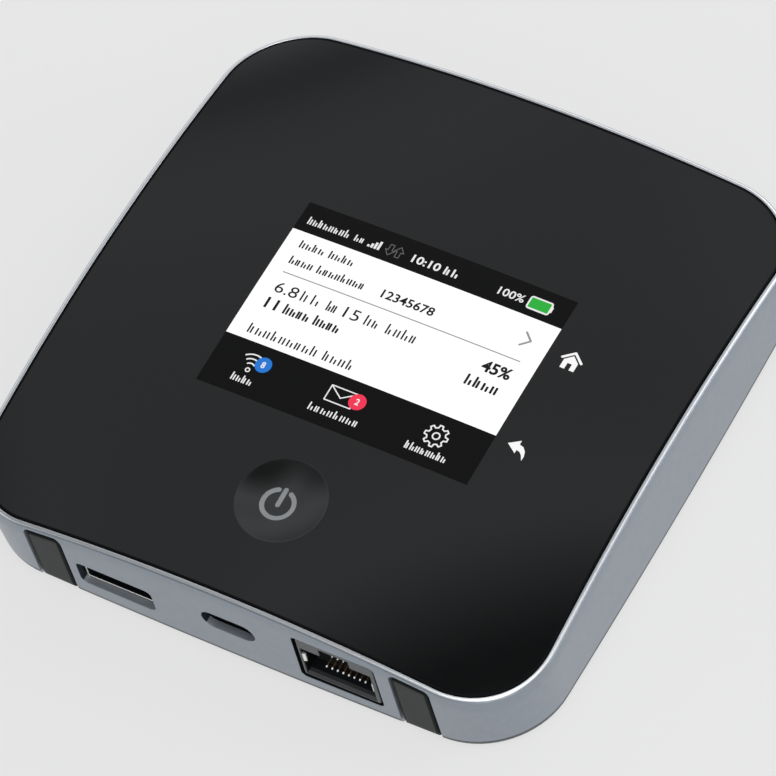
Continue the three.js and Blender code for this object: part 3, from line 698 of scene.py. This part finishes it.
def mark(name, polygons, finish, lift=0.03, slot="display_face"):
    """A flat printed or lit mark lying on the top face."""
    thing = new_object(name, *prism(polygons, dome, lift))
    return place(thing, "housing", finish, slot)


def rectangle(x0, x1, y0, y1, radius=0.0):
    if radius:
        return rounded_rectangle(x0, x1, y0, y1, radius, 4)
    return [(x0, y0), (x1, y0), (x1, y1), (x0, y1)]


def disc(x, y, radius, steps=40):
    turn = [2 * math.pi * i / steps for i in range(steps)]
    return [(x + radius * math.cos(a), y + radius * math.sin(a)) for a in turn]


def arc_band(x, y, radius, width, start, end, steps=28, round_ends=False):
    """A curved stroke from one angle to another, in degrees."""
    angles = [math.radians(start + (end - start) * i / steps) for i in range(steps + 1)]
    outer, inner = radius + width / 2, radius - width / 2
    first, last = angles[0], angles[-1]
    shape = [(x + outer * math.cos(a), y + outer * math.sin(a)) for a in angles]
    if round_ends:
        shape += cap(x + radius * math.cos(last), y + radius * math.sin(last), width / 2, last)
    shape += [(x + inner * math.cos(a), y + inner * math.sin(a)) for a in reversed(angles)]
    if round_ends:
        shape += cap(x + radius * math.cos(first), y + radius * math.sin(first), width / 2, first + math.pi)
    return shape


def cap(x, y, radius, start, steps=8):
    """The half circle that ends a curved stroke, from the direction start, turning left."""
    turns = [start + math.pi * i / steps for i in range(1, steps)]
    return [(x + radius * math.cos(a), y + radius * math.sin(a)) for a in turns]


def stroke(x0, y0, x1, y1, width):
    """A straight stroke with round ends."""
    angle = math.atan2(y1 - y0, x1 - x0)
    ends = []
    for x, y, start in ((x1, y1, angle - math.pi / 2), (x0, y0, angle + math.pi / 2)):
        for i in range(9):
            turn = start + math.pi * i / 8
            ends.append((x + width / 2 * math.cos(turn), y + width / 2 * math.sin(turn)))
    return ends


def greeked(x0, x1, y, height, words, seed, weight=0.24):
    """Stand-in type: two plain upright bars for each letter. words lists the letters in each word."""
    total = sum(words) + 0.6 * (len(words) - 1)
    cell = (x1 - x0) / total
    low = y - height / 2
    shapes = []
    x = x0
    for word in words:
        for k in range(word):
            tall = height if k == 0 or (k * 7 + seed) % 5 == 0 else height * 0.72
            short = height * (0.72 if (k + seed) % 2 else 0.5)
            wide = cell * (0.46 if (k + seed) % 3 else 0.36)
            shapes.append(rectangle(x, x + weight, low, low + tall, weight * 0.3))
            shapes.append(rectangle(x + wide, x + wide + weight, low, low + short, weight * 0.3))
            x += cell
        x += cell * 0.6
    return shapes


def numerals(name, digits, left, middle, height, finish, weight=0.02, width=None, lift=0.05):
    """Plain figures lying on the display. width stretches them to a set length."""
    curve = bpy.data.curves.new(name, "FONT")
    curve.body = digits
    curve.size = 1
    curve.extrude = 0.02
    curve.offset = weight
    curve.resolution_u = 3
    helper = bpy.data.objects.new("tool", curve)
    bpy.context.scene.collection.objects.link(helper)
    graph = bpy.context.evaluated_depsgraph_get()
    mesh = bpy.data.meshes.new_from_object(helper.evaluated_get(graph))
    bpy.data.objects.remove(helper)
    xs = [v.co.x for v in mesh.vertices]
    ys = [v.co.y for v in mesh.vertices]
    rise = height / (max(ys) - min(ys))
    stretch = width / (max(xs) - min(xs)) if width else rise
    for vertex in mesh.vertices:
        x = left + (vertex.co.x - min(xs)) * stretch
        y = middle - height / 2 + (vertex.co.y - min(ys)) * rise
        up = lift if vertex.co.z > 0 else lift - 0.04
        vertex.co = Vector((x, y, dome(x, y) + up)) * MM
    mesh.update()
    thing = bpy.data.objects.new(name, mesh)
    bpy.context.scene.collection.objects.link(thing)
    return place(thing, "housing", finish, "display_face")


SCREEN_TOP_BAR = 13.35
SCREEN_BOTTOM_BAR = -8.75


def make_screen():
    """The lit picture: a status bar, a white panel and three icons, with plain figures and greeked type."""
    white = grid_slab(
        "screen_panel",
        DISPLAY_XS,
        (SCREEN_BOTTOM_BAR, SCREEN_TOP_BAR),
        lambda x, y: dome(x, y) + 0.02,
        0.04,
        40,
        20,
    )
    place(white, "housing", WHITE, "display_face")
    make_status_bar()
    make_usage_panel()
    make_icon_bar()


def make_status_bar():
    y = 15.75
    type_white = greeked(-22.1, -14.1, y, 1.5, [8], 1) + greeked(-13.2, -11.2, y - 0.1, 1.25, [2], 2)
    type_white += greeked(3.6, 6.5, y, 1.55, [2], 3, 0.34)
    for i in range(4):
        x = -10.6 + i * 0.6
        type_white.append(rectangle(x, x + 0.42, y - 0.85, y - 0.45 + 0.43 * i))
    mark("screen_status", type_white, UI_WHITE)
    faint = []
    for x, way in ((-6.6, -1), (-5.0, 1)):
        arrow = [(-0.35, -1.0), (0.35, -1.0), (0.35, 0.1), (0.85, 0.1), (0, 1.1), (-0.85, 0.1), (-0.35, 0.1)]
        faint += outline_strokes([(x + dx, y + way * dy) for dx, dy in arrow], 0.15)
    mark("screen_arrows", faint, UI_FAINT)
    numerals("screen_clock", "10:10", -2.4, y, 1.55, UI_WHITE, width=5.2)
    numerals("screen_charge", "100%", 13.6, y + 0.15, 1.5, UI_WHITE, width=4.7, weight=0.01)
    x0, x1, y0, y1 = 19.0, 23.2, y - 1.1, y + 1.45
    shell = [rectangle(x0, x1, y0, y1, 0.5), rectangle(x1 - 0.1, x1 + 0.22, y - 0.4, y + 0.75, 0.1)]
    mark("screen_cell_outline", shell, UI_WHITE)
    mark("screen_cell_fill", [rectangle(x0 + 0.3, x1 - 0.3, y0 + 0.3, y1 - 0.3, 0.12)], UI_GREEN, lift=0.05)


def make_usage_panel():
    bold = 0.3
    ink = greeked(-21.0, -10.6, 11.05, 1.55, [4, 4], 1, bold)
    ink += greeked(-21.0, -6.7, 7.7, 1.6, [4, 8], 2, bold)
    ink += greeked(-15.6, -11.6, 2.1, 2.0, [2], 3, bold) + greeked(-10.7, -8.8, 2.1, 2.0, [2], 4, bold)
    ink += greeked(-3.6, -0.6, 2.1, 2.0, [2], 5, bold) + greeked(0.5, 6.4, 2.0, 2.0, [4], 6, bold)
    ink += greeked(-17.0, -6.4, -1.2, 2.0, [4, 4], 7, 0.38)
    ink += greeked(16.9, 23.1, -1.25, 2.05, [4], 8, 0.42)
    ink += greeked(-20.6, -0.6, -6.6, 1.9, [9, 4], 9, bold)
    mark("screen_type", ink, UI_INK, lift=0.04)
    numerals("screen_code", "12345678", -3.6, 7.7, 1.7, UI_INK, width=9.7)
    numerals("screen_used_a", "6.8", -20.5, 2.1, 2.1, UI_INK, width=4.2, weight=0)
    numerals("screen_used_b", "15", -7.5, 2.1, 2.1, UI_INK, width=2.8, weight=0)
    numerals("screen_days", "11", -20.5, -1.2, 2.1, UI_INK, width=2.2, weight=0.02)
    numerals("screen_share", "45%", 18.1, 2.1, 2.2, UI_INK, width=5.2, weight=0.03)
    divider = []
    for i in range(24):
        x = -20.9 + 44.3 * i / 24
        divider.append(rectangle(x, x + 44.3 / 24, 4.96, 5.16))
    divider.append(stroke(21.7, 10.5, 23.1, 9.2, 0.36))
    divider.append(stroke(23.1, 9.2, 21.7, 7.9, 0.36))
    mark("screen_rules", divider, UI_GREY, lift=0.04)


def gear(x, y, outer, root, teeth=8):
    """Outline of a cog, with sloping teeth."""
    shape = []
    for i in range(teeth):
        for part, radius in ((-0.30, root), (-0.17, outer), (0.17, outer), (0.30, root)):
            angle = 2 * math.pi * (i + part) / teeth
            shape.append((x + radius * math.cos(angle), y + radius * math.sin(angle)))
    return shape


def outline_strokes(points, width, closed=True):
    ends = points[1:] + points[:1] if closed else points[1:]
    return [stroke(*a, *b, width) for a, b in zip(points, ends)]


def make_icon_bar():
    lines = []
    for radius in (1.0, 1.85, 2.7):
        lines.append(arc_band(-16.7, -13.6, radius, 0.24, 52, 128, 14, True))
    lines.append(arc_band(-16.7, -13.9, 0.36, 0.2, 0, 359, 16))
    lines += outline_strokes([(-2.35, -13.9), (2.45, -13.9), (2.45, -11.0), (-2.35, -11.0)], 0.2)
    lines += outline_strokes([(-2.2, -11.15), (0.05, -12.75), (2.3, -11.15)], 0.2, closed=False)
    lines += outline_strokes(gear(17.75, -12.75, 2.05, 1.55), 0.24)
    lines.append(arc_band(17.75, -12.75, 0.6, 0.24, 0, 359, 20))
    mark("screen_icons", lines, UI_WHITE)
    captions = greeked(-18.6, -14.6, -15.75, 1.45, [4], 1) + greeked(-4.0, 5.4, -15.85, 1.45, [8], 2)
    captions += greeked(13.9, 21.5, -15.95, 1.45, [8], 3)
    mark("screen_captions", captions, UI_WHITE)
    mark("screen_badge_blue", [disc(-14.7, -12.15, 1.45)], UI_BLUE, lift=0.05)
    mark("screen_badge_red", [disc(3.0, -12.3, 1.5)], UI_RED, lift=0.05)
    numerals("screen_badge_count_a", "8", -15.05, -12.15, 1.2, UI_WHITE, width=0.7, lift=0.07)
    numerals("screen_badge_count_b", "2", 2.65, -12.3, 1.2, UI_WHITE, width=0.7, lift=0.07)


def make_touch_keys():
    x, y = 30.8, 8.6
    roof = [stroke(x - 1.7, y + 0.15, x, y + 1.6, 0.42), stroke(x, y + 1.6, x + 1.7, y + 0.15, 0.42)]
    wall_low = y - 1.75
    house = [(x - 1.25, wall_low), (x - 0.4, wall_low), (x - 0.4, y - 0.55), (x + 0.4, y - 0.55)]
    house += [(x + 0.4, wall_low), (x + 1.25, wall_low), (x + 1.25, y - 0.1)]
    house += [(x, y + 1.0), (x - 1.25, y - 0.1)]
    mark("key_home", roof + [house], KEY_WHITE, lift=0.02, slot="gloss_black")
    x, y = 30.6, -9.6
    head = [(x - 1.75, y + 0.45), (x + 0.1, y + 1.7), (x + 0.1, y - 0.8)]
    tail = [(x, y + 1.0), (x + 0.9, y + 0.75), (x + 1.5, y + 0.1), (x + 1.75, y - 0.8), (x + 1.7, y - 1.6)]
    tail += [(x + 1.2, y - 0.7), (x + 0.7, y - 0.25), (x, y - 0.1)]
    mark("key_back", [head, tail], KEY_WHITE, lift=0.02, slot="gloss_black")


def make_power_mark():
    x, y, radius, width = BUTTON_X - 0.55, BUTTON_Y - 0.42, 2.62, 0.8
    shapes = [arc_band(x, y, radius, width, 115, 425, 64, True), stroke(x, y - 0.15, x, y + 2.75, width)]
    thing = new_object("power_mark", *prism(shapes, button_surface, 0.015))
    return place(thing, "power_button", ICON_GREY, "gloss_black")


# ---- Port covers ----

FLAP_BACK = span("port_cover_right")[1][1]
FLAP_STEP_Z = 14.2


def flap_back_y(z):
    if z > FLAP_STEP_Z:
        return FRONT + RIM_INSET - 0.05
    if z < FLAP_PIVOT_Z:
        reach = math.sqrt(max(FLAP_PIVOT_R**2 - (FLAP_PIVOT_Z - z) ** 2, 0))
        return FLAP_PIVOT_Y + reach
    return FLAP_BACK


def make_port_cover(side, name):
    base = FLAP_PIVOT_Z - FLAP_PIVOT_R + 0.1
    rings = []

    def ring(margin, depth):
        """depth is how far behind the band's face the ring lies; None puts it at the flap's back."""
        shape = []
        for x, z in flap_shape(side, margin, base - margin):
            y = flap_back_y(z) if depth is None else min(front_y(x, z) + depth, flap_back_y(z) - 0.1)
            shape.append((x, y, z))
        return shape

    rings.append(ring(-2.6, None))
    rings.append(ring(-0.2, None))
    rings.append(ring(-0.1, 0.8))
    for margin, depth in ((-0.12, 0.55), (-0.18, 0.36), (-0.3, 0.2), (-0.45, 0.12), (-0.7, 0.08)):
        rings.append(ring(margin, depth))
    for margin in (-1.3, -1.9, -2.5, -3.1):
        rings.append(ring(margin, 0.08))
    cover = ring_object(f"flap_{name}", list(reversed(rings)), sharp=math.radians(50))
    paint(cover, RUBBER)
    cover.data.materials.append(RUBBER_EDGE_SHADE)
    # Painted shade: the flap's sides and bevel get the darker rubber.
    count, shaded_rows = len(rings[0]), range(4, len(rings) - 1)
    for polygon in cover.data.polygons:
        polygon.material_index = 1 if polygon.index // count in shaded_rows else 0
    return place(cover, f"port_cover_{name}", None, "flap_rubber", f"port_cover_{name}")


# ---- Rear cover ----


def make_rear_cover():
    inset = WALL + GAP * 0.7
    edge = 0.6
    rings = []
    for i in range(7):
        angle = math.pi / 2 * i / 6
        rings.append(level(inset + edge * (1 - math.sin(angle)), edge * (1 - math.cos(angle))))
    thickness = 1.4
    rings.append(level(inset, thickness - 0.1))
    rings.append(level(inset + 0.1, thickness))
    cover = ring_object("rear_shell", rings)
    reach = HALF - CORNER_RADIUS * 0.42
    notch = disc(reach, reach, 2.4, 48)
    tools = [ring_object("tool", [[(x, y, z) for x, y in notch] for z in (-1, 0.7)])]
    carve(cover, tools)
    pieces = [cover]
    for along in (-22, 0, 22):
        for sign in (-1, 1):
            near, far = sorted((sign * (HALF - 2.35), sign * (HALF - 3.15)))
            for xs, ys in (((along - 2, along + 2), (near, far)), ((near, far), (along - 2, along + 2))):
                pieces.append(block("tool", xs, ys, (thickness - 0.05, 3.4), 0.15, 0.1))
    whole = join("rear_panel", pieces)
    return place(whole, "rear_cover", REAR, "rear_plastic", "rear_cover")


# ---- Ports ----


def jack_mouth(middle, base, width, height, notch, rise, y, inset=0.0):
    """The opening for a network plug: a rectangle with a notch for the latch above it."""
    half, slot = width / 2 - inset, notch / 2 - inset
    top, peak = base + height - inset, base + height + rise - inset
    shape = [(-half, base + inset), (half, base + inset), (half, top), (slot, top)]
    shape += [(slot, peak), (-slot, peak), (-slot, top), (-half, top)]
    return [(middle + x, y, z) for x, z in shape]


def make_network_jack():
    x0, x1 = RJ45_LOW[0], RJ45_HIGH[0]
    z0, z1 = RJ45_LOW[2], RJ45_HIGH[2]
    y0, y1 = RJ45_LOW[1], RJ45_HIGH[1]
    middle = (x0 + x1) / 2 - 0.1
    floor = z0 + 1.3
    lip = 0.85

    def frame_ring(inset, y):
        shape = rounded_rectangle(x0 + inset, x1 - inset, z0 + inset, z1 - inset, 0.55 - inset, 4)
        return [(x, y, z) for x, z in shape]

    def mouth_ring(y, inset, drop=lip):
        return jack_mouth(middle, floor - drop, 12.9, 6.9 + drop, 5.5, 1.9, y, inset)

    rim, plate = 0.12, 0.25
    shell = ring_object("jack_shell", [frame_ring(0, y1), frame_ring(rim, y0 + 0.1), frame_ring(2 * rim, y0)])
    inside = ring_object("tool", [frame_ring(0.4, y1 - 0.3), frame_ring(0.4, y0 + plate)])
    through = ring_object("tool", [mouth_ring(y, 0) for y in (y0 + 2, y0 - 1)])
    carve(shell, [inside, through])
    place(shell, "housing", JACK_GREY, "tin", "rj45_shield")

    core = ring_object("jack_core", [frame_ring(0.45, y1 - 0.4), frame_ring(0.45, y0 + plate + 0.05)])
    carve(core, [ring_object("tool", [mouth_ring(-41, -0.02), mouth_ring(y0, -0.02)])])
    # The core is near-black: the insert's black plastic, darkened further as painted shade.
    place(core, "housing", SHADE_BLACK, "port_plastic", "rj45_insert")

    under = floor - lip - 0.1
    ramp = [(y0 + 0.1, under), (y0 + 0.1, floor - lip), (y0 + 0.55, floor - lip + 0.1)]
    ramp += [(y0 + 1.1, floor - lip + 0.3), (y0 + 2.6, floor), (y0 + 2.6, under)]
    ends = (middle + 6.4, middle - 6.4)
    lead_in = ring_object("jack_lead_in", [[(x, y, z) for y, z in ramp] for x in ends])
    place(lead_in, "housing", JACK_GREY, "tin")
    # Painted shade: the lead-in steps from the shell grey to a darker grey and then near-black towards the
    # back.
    lead_in.data.materials.append(JACK_SHADE)
    lead_in.data.materials.append(SHADE_BLACK)
    shade_from = ((y0 + 0.5) * MM, (y0 + 1.1) * MM)
    for polygon in lead_in.data.polygons:
        polygon.material_index = sum(polygon.center.y >= y for y in shade_from)

    wires, highlights = [], []
    contact_y, contact_z = span("rj45_contacts")[0][1:]
    for i in range(8):
        x = middle + (i - 3.5) * 1.02
        y, z = contact_y + 0.1, contact_z + 0.2
        wires.append(wire(x, [(y, z), (y + 1.6, z + 0.15), (y + 4.2, z + 0.9), (y + 7.6, z + 1.7)], 0.17))
        # Painted highlight: pale beads on each wire, at its front bend and again further in.
        near = [(y - 0.1, z - 0.02), (y - 0.06, z + 0.08), (y, z + 0.12), (y + 0.06, z + 0.13)]
        far = [(y + 1.55, z + 0.12), (y + 1.75, z + 0.24), (y + 2.1, z + 0.3), (y + 2.3, z + 0.3)]
        highlights += [wire(x, near, 0.17), wire(x, far, 0.18)]
    # The wires themselves are gold darkened as painted shade.
    place(join("jack_contacts", wires), "housing", SHADED_GOLD, "gold", "rj45_contacts")
    place(join("jack_contact_highlights", highlights), "housing", PALE_AND_HIGHLIGHT, "gold")

    springs = []
    for x, z, side in ((middle - 6.35, floor + 3.7, 1), (middle + 6.35, floor + 2.7, -1)):
        y = y0 + 0.05
        bend = ((0, 0), (0.75, 0.25), (0.75, 0.5), (0, 0.5))
        rings = [[(x + side * (d - 0.35), y + back, z + k) for d, back in bend] for k in (-1.0, 1.2)]
        springs.append(ring_object("tool", rings))
    # Painted highlight: the springs take the pale finish.
    place(join("jack_springs", springs), "housing", PALE_AND_HIGHLIGHT, "tin")


def wire(x, route, radius, steps=8):
    """A round wire in a plane of constant x, along a route of y and z."""
    rings = []
    for i, (y, z) in enumerate(route):
        before, after = route[max(i - 1, 0)], route[min(i + 1, len(route) - 1)]
        along = Vector((0, after[0] - before[0], after[1] - before[1])).normalized()
        side = Vector((1, 0, 0))
        up = along.cross(side)
        ring = []
        for k in range(steps):
            angle = 2 * math.pi * k / steps
            p = Vector((x, y, z)) + radius * (math.cos(angle) * side + math.sin(angle) * up)
            ring.append(tuple(p))
        rings.append(ring)
    return ring_object("tool", rings)


def tube_shell(name, low, high, radius, wall):
    """A connector's folded metal shell: open at the front, closed behind."""

    def ring(inset, y):
        shape = rounded_rectangle(
            low[0] + inset, high[0] - inset, low[2] + inset, high[2] - inset, max(radius - inset, 0.1), 8
        )
        return [(x, y, z) for x, z in shape]

    y0, y1 = low[1], high[1]
    soft = 0.06
    rings = [ring(0, y1), ring(0, y0 + soft), ring(soft, y0), ring(wall - soft, y0), ring(wall, y0 + soft)]
    rings += [ring(wall, y1 - wall), ring(wall + 1.2, y1 - wall), ring(wall + 1.2, y1)]
    return ring_object(name, rings, looped=True)


def dress_shell(shell, outside, lip):
    """A connector shell's three looks: outside, front lip, and the inside of its tube in near-black painted
    shade.
    """
    for finish in (outside, lip, SHADE_BLACK):
        shell.data.materials.append(finish)
    count = len(shell.data.polygons) // 8
    for polygon in shell.data.polygons:
        row = polygon.index // count
        polygon.material_index = 0 if row < 1 else 1 if row < 4 else 2


def make_usb_ports():
    shell = tube_shell("usb_a_can", USB_A_LOW, USB_A_HIGH, 0.55, 0.3)
    # The USB-A shell's lip carries a painted highlight.
    dress_shell(shell, STEEL, PALE_AND_HIGHLIGHT)
    place(shell, "housing", None, "steel", "usb_a_shell")
    low, high = span("usb_a_tongue")
    xs = (low[0] + 0.4, high[0] - 0.4)
    tongue = block("tongue_board", xs, (low[1], high[1] - 1.3), (8.3, 10.05), 0.15, 0.12)
    back = block("tool", (low[0], high[0]), (high[1] - 1.5, high[1]), (low[2], high[2]))
    carve(tongue, [back], "UNION")
    place(tongue, "housing", PORT_BLACK, "port_plastic", "usb_a_tongue")
    pads = []
    for i in range(4):
        x = (low[0] + high[0]) / 2 + (-3.5, -1, 1, 3.5)[i]
        ys = (low[1] + 0.5, high[1] - 2.5)
        pads.append(block("tool", (x - 0.5, x + 0.5), ys, (8.16, 8.34), 0.05, 0.03))
    place(join("usb_a_pads", pads), "housing", GOLD, "gold")

    shell = tube_shell("usb_c_can", USB_C_LOW, USB_C_HIGH, 1.6, 0.3)
    # The USB-C shell's lip is darkened as painted shade.
    dress_shell(shell, STEEL, SHADED_NICKEL)
    place(shell, "housing", None, "steel", "usb_c_shell")
    low, high = span("usb_c_tongue")
    tongue = block("type_c_tongue", (low[0], high[0]), (low[1], high[1] - 0.9), (10.1, 10.8), 0.3, 0.1)
    back = block("tool", (low[0] + 0.25, high[0] - 0.25), (high[1] - 1.2, high[1]), (low[2], high[2]))
    carve(tongue, [back], "UNION")
    place(tongue, "housing", PORT_BLACK, "port_plastic", "usb_c_tongue")
    pads = []
    for i in range(10):
        x = (low[0] + high[0]) / 2 + (i - 4.5) * 0.55
        for z in (10.06, 10.78):
            ys = (low[1] + 0.5, low[1] + 3.4)
            pads.append(block("tool", (x - 0.16, x + 0.16), ys, (z, z + 0.06), 0.03, 0.01))
    place(join("usb_c_pads", pads), "housing", GOLD, "gold")


def make_antenna_sockets():
    for side, name in ((-1, "left"), (1, "right")):
        low, high = span(f"antenna_socket_{name}")
        x, z = side * 33.9, 10.9
        bezel = block("tool", (low[0], high[0]), (-50.5, -49.7), (low[2], high[2]), 0.1, 0.06)
        body = block("tool", (x - 2.6, x + 2.6), (-49.75, high[1]), (8.85, high[2] - 1.1), 0.3, 0.1)
        socket = join(f"socket_bezel_{name}", [bezel, body])
        place(socket, "housing", PORT_BLACK, "steel", f"antenna_socket_{name}")

        barrel = [(1.9, -50.45), (1.9, -50.72), (1.82, -50.8), (1.4, -50.8), (1.3, -50.72), (1.3, -50.45)]
        ring = ring_object(f"socket_ring_{name}", turned(barrel, (x, z)), looped=True)
        place(ring, "housing", GOLD, "gold")
        insulator = rod("tool", 1.25, (x, z), (-50.56, -50.4))
        pin = rod("tool", 0.32, (x, z), (-50.72, -50.5), 16, 0.05)
        place(join(f"socket_core_{name}", [insulator, pin]), "housing", PALE_AND_HIGHLIGHT, "gold")


# ---- Inside ----

NODE_FINISHES = {
    "mid_chassis": CHASSIS,
    "lcd_panel": LCD,
    "lcd_bracket": STEEL,
    "display_flex": FLEX,
    "io_flex": FLEX,
    "button_board": BOARD,
    "main_pcb": BOARD,
    "io_pcb": BOARD,
    "button_switch": STEEL,
    "switch_plunger": PORT_BLACK,
    "light_guide": GUIDE,
    "processor_can": TIN,
    "power_can": TIN,
    "radio_can": TIN,
    "modem_module": TIN,
    "heat_spreader": GRAPHITE,
    "sim_socket": STEEL,
    "microsd_socket": STEEL,
    "battery": WRAP,
    "battery_contacts": GOLD,
    "antenna_flex_left": FLEX,
    "antenna_flex_right": FLEX,
    **{f"chassis_screw_{i}": STEEL for i in range(1, 5)},
}


def dress_inside():
    for node, finish in NODE_FINISHES.items():
        paint(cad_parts[node], finish)
    z = span("battery")[0][2]
    label = block("battery_label", (-25, 25), (-14, 26), (z - 0.05, z + 0.02), 1.5, 0.01)
    place(label, "battery", LABEL, "battery_wrap")
    bars = []
    for row, length in enumerate((38, 30, 34, 22, 28)):
        y = 20 - row * 4
        bars.append(block("tool", (-20, -20 + length), (y - 0.6, y + 0.6), (z - 0.09, z - 0.03), 0.3, 0.01))
    place(join("battery_print", bars), "battery", PART_BLACK, "battery_wrap")
    z1 = span("io_pcb")[0][2] - 0.02
    chips = []
    for i in range(14):
        x = -8 + (i % 7) * 3.0
        y = -46.5 + (i // 7) * 2.2
        chips.append(block("tool", (x - 0.8, x + 0.8), (y - 0.45, y + 0.45), (z1 - 0.6, z1), 0.08, 0.05))
    for x, y, size in ((8.5, -36, 2.4), (31, -36, 3.4), (37, -31, 2.0), (-24, -32, 2.6)):
        chips.append(block("tool", (x - size, x + size), (y - size, y + size), (z1 - 0.9, z1), 0.1, 0.06))
    place(join("board_parts", chips), "housing", PART_BLACK, "port_plastic")


# ---- Stage ----


def make_stage():
    size = 6.0
    mesh = bpy.data.meshes.new("floor")
    corners = [(-size, -size, 0), (size, -size, 0), (size, size, 0), (-size, size, 0)]
    mesh.from_pydata(corners, [], [(0, 1, 2, 3)])
    floor = bpy.data.objects.new("floor", mesh)
    bpy.context.scene.collection.objects.link(floor)
    pale = material("floor_pale", (0.14, 0.14, 0.14), 0.9, grain=40, bump=0.0, mottle=0.004)
    shader = pale.node_tree.nodes["Principled BSDF"]
    shader.inputs["Emission Color"].default_value = (1, 1, 1, 1)
    shader.inputs["Emission Strength"].default_value = 0.66
    paint(floor, pale)
    floor.location.z = -0.0002


def make_world():
    """A soft studio: bright round the horizon, dimmer overhead and dark at the zenith."""
    world = bpy.data.worlds.new("studio")
    bpy.context.scene.world = world
    world.use_nodes = True
    nodes, links = world.node_tree.nodes, world.node_tree.links
    background = nodes["Background"]
    direction = nodes.new("ShaderNodeTexCoord").outputs["Generated"]
    parts = nodes.new("ShaderNodeSeparateXYZ")
    links.new(direction, parts.inputs["Vector"])
    ramp = nodes.new("ShaderNodeValToRGB")
    ramp.color_ramp.interpolation = "EASE"
    stops = ((0.0, 1.0), (0.35, 0.95), (0.45, 0.45), (0.54, 0.27), (0.68, 0.56), (0.75, 0.61), (0.8, 0.5))
    stops += ((0.86, 0.52), (0.91, 0.64), (0.945, 0.34), (0.965, 0.17), (0.985, 0.01))
    elements = ramp.color_ramp.elements
    while len(elements) < len(stops):
        elements.new(0.5)
    for element, (position, value) in zip(elements, stops):
        element.position = position
        element.color = (value * 0.98, value, value * 1.03, 1)
    links.new(parts.outputs["Z"], ramp.inputs["Fac"])

    def patch(toward, start, full, value, away=0.0):
        """A soft patch of the sky: value in the middle, away outside it."""
        closeness = nodes.new("ShaderNodeVectorMath")
        closeness.operation = "DOT_PRODUCT"
        closeness.inputs[1].default_value = toward
        links.new(direction, closeness.inputs[0])
        shape = nodes.new("ShaderNodeMapRange")
        shape.interpolation_type = "SMOOTHSTEP"
        for socket, number in (("From Min", start), ("From Max", full), ("To Min", away), ("To Max", value)):
            shape.inputs[socket].default_value = number
        links.new(closeness.outputs["Value"], shape.inputs["Value"])
        return shape.outputs["Result"]

    total = nodes.new("ShaderNodeVectorMath")
    links.new(ramp.outputs["Color"], total.inputs[0])
    links.new(patch((0.5, 0.85, -0.6), 0.2, 1.0, 1.6), total.inputs[1])
    dimmed = nodes.new("ShaderNodeVectorMath")
    dimmed.operation = "SCALE"
    links.new(total.outputs["Vector"], dimmed.inputs[0])
    links.new(patch((-0.55, -0.35, 0.76), 0.84, 0.95, 0.3, away=1.0), dimmed.inputs["Scale"])
    links.new(dimmed.outputs["Vector"], background.inputs["Color"])
    background.inputs["Strength"].default_value = 1.0


def area_light(name, azimuth, elevation, distance, size, power, colour=(1, 1, 1)):
    """A soft box aimed at the object. Azimuth 0 is in front of the ports, and it turns towards +X."""
    lamp = bpy.data.lights.new(name, "AREA")
    lamp.shape = "SQUARE"
    lamp.size = size
    lamp.energy = power
    lamp.color = colour
    holder = bpy.data.objects.new(name, lamp)
    a, e = math.radians(azimuth), math.radians(elevation)
    spot = Vector((math.sin(a) * math.cos(e), -math.cos(a) * math.cos(e), math.sin(e))) * distance
    holder.location = spot
    holder.rotation_euler = (-spot).to_track_quat("-Z", "Y").to_euler()
    bpy.context.scene.collection.objects.link(holder)


CAMERA_AZIMUTH = 42.43
CAMERA_ELEVATION = 55.49
CAMERA_DISTANCE = 0.897
CAMERA_ROLL = 15.88
CAMERA_AIM = Vector((6.1, -7.8, 20.0)) * MM
LENS = 260.3


def make_camera():
    camera = bpy.data.cameras.new("camera")
    camera.lens = LENS
    camera.sensor_width = 36
    camera.clip_start = 0.01
    camera.clip_end = 50
    holder = bpy.data.objects.new("camera", camera)
    a, e = math.radians(CAMERA_AZIMUTH), math.radians(CAMERA_ELEVATION)
    back = Vector((math.sin(a) * math.cos(e), -math.cos(a) * math.cos(e), math.sin(e)))
    right = Vector((math.cos(a), math.sin(a), 0))
    up = back.cross(right)
    roll = math.radians(CAMERA_ROLL)
    turned_right = right * math.cos(roll) - up * math.sin(roll)
    turned_up = up * math.cos(roll) + right * math.sin(roll)
    spot = CAMERA_AIM + back * CAMERA_DISTANCE
    rows = [(turned_right[i], turned_up[i], back[i], spot[i]) for i in range(3)]
    holder.matrix_world = Matrix([*rows, (0, 0, 0, 1)])
    bpy.context.scene.collection.objects.link(holder)
    bpy.context.scene.camera = holder


# ---- Making ----

make_camera()
make_stage()
make_world()
area_light("key", azimuth=45, elevation=68, distance=1.6, size=0.9, power=8)
area_light("side", azimuth=115, elevation=14, distance=1.6, size=0.7, power=6.5)
area_light("rim", azimuth=45, elevation=35, distance=1.6, size=0.5, power=1.6)
bpy.context.scene.view_settings.view_transform = "Standard"

make_band()
make_top_face()
make_lens()
make_button()
make_power_mark()
make_screen()
make_touch_keys()
make_port_cover(-1, "left")
make_port_cover(1, "right")
make_rear_cover()
make_network_jack()
make_usb_ports()
make_antenna_sockets()
dress_inside()
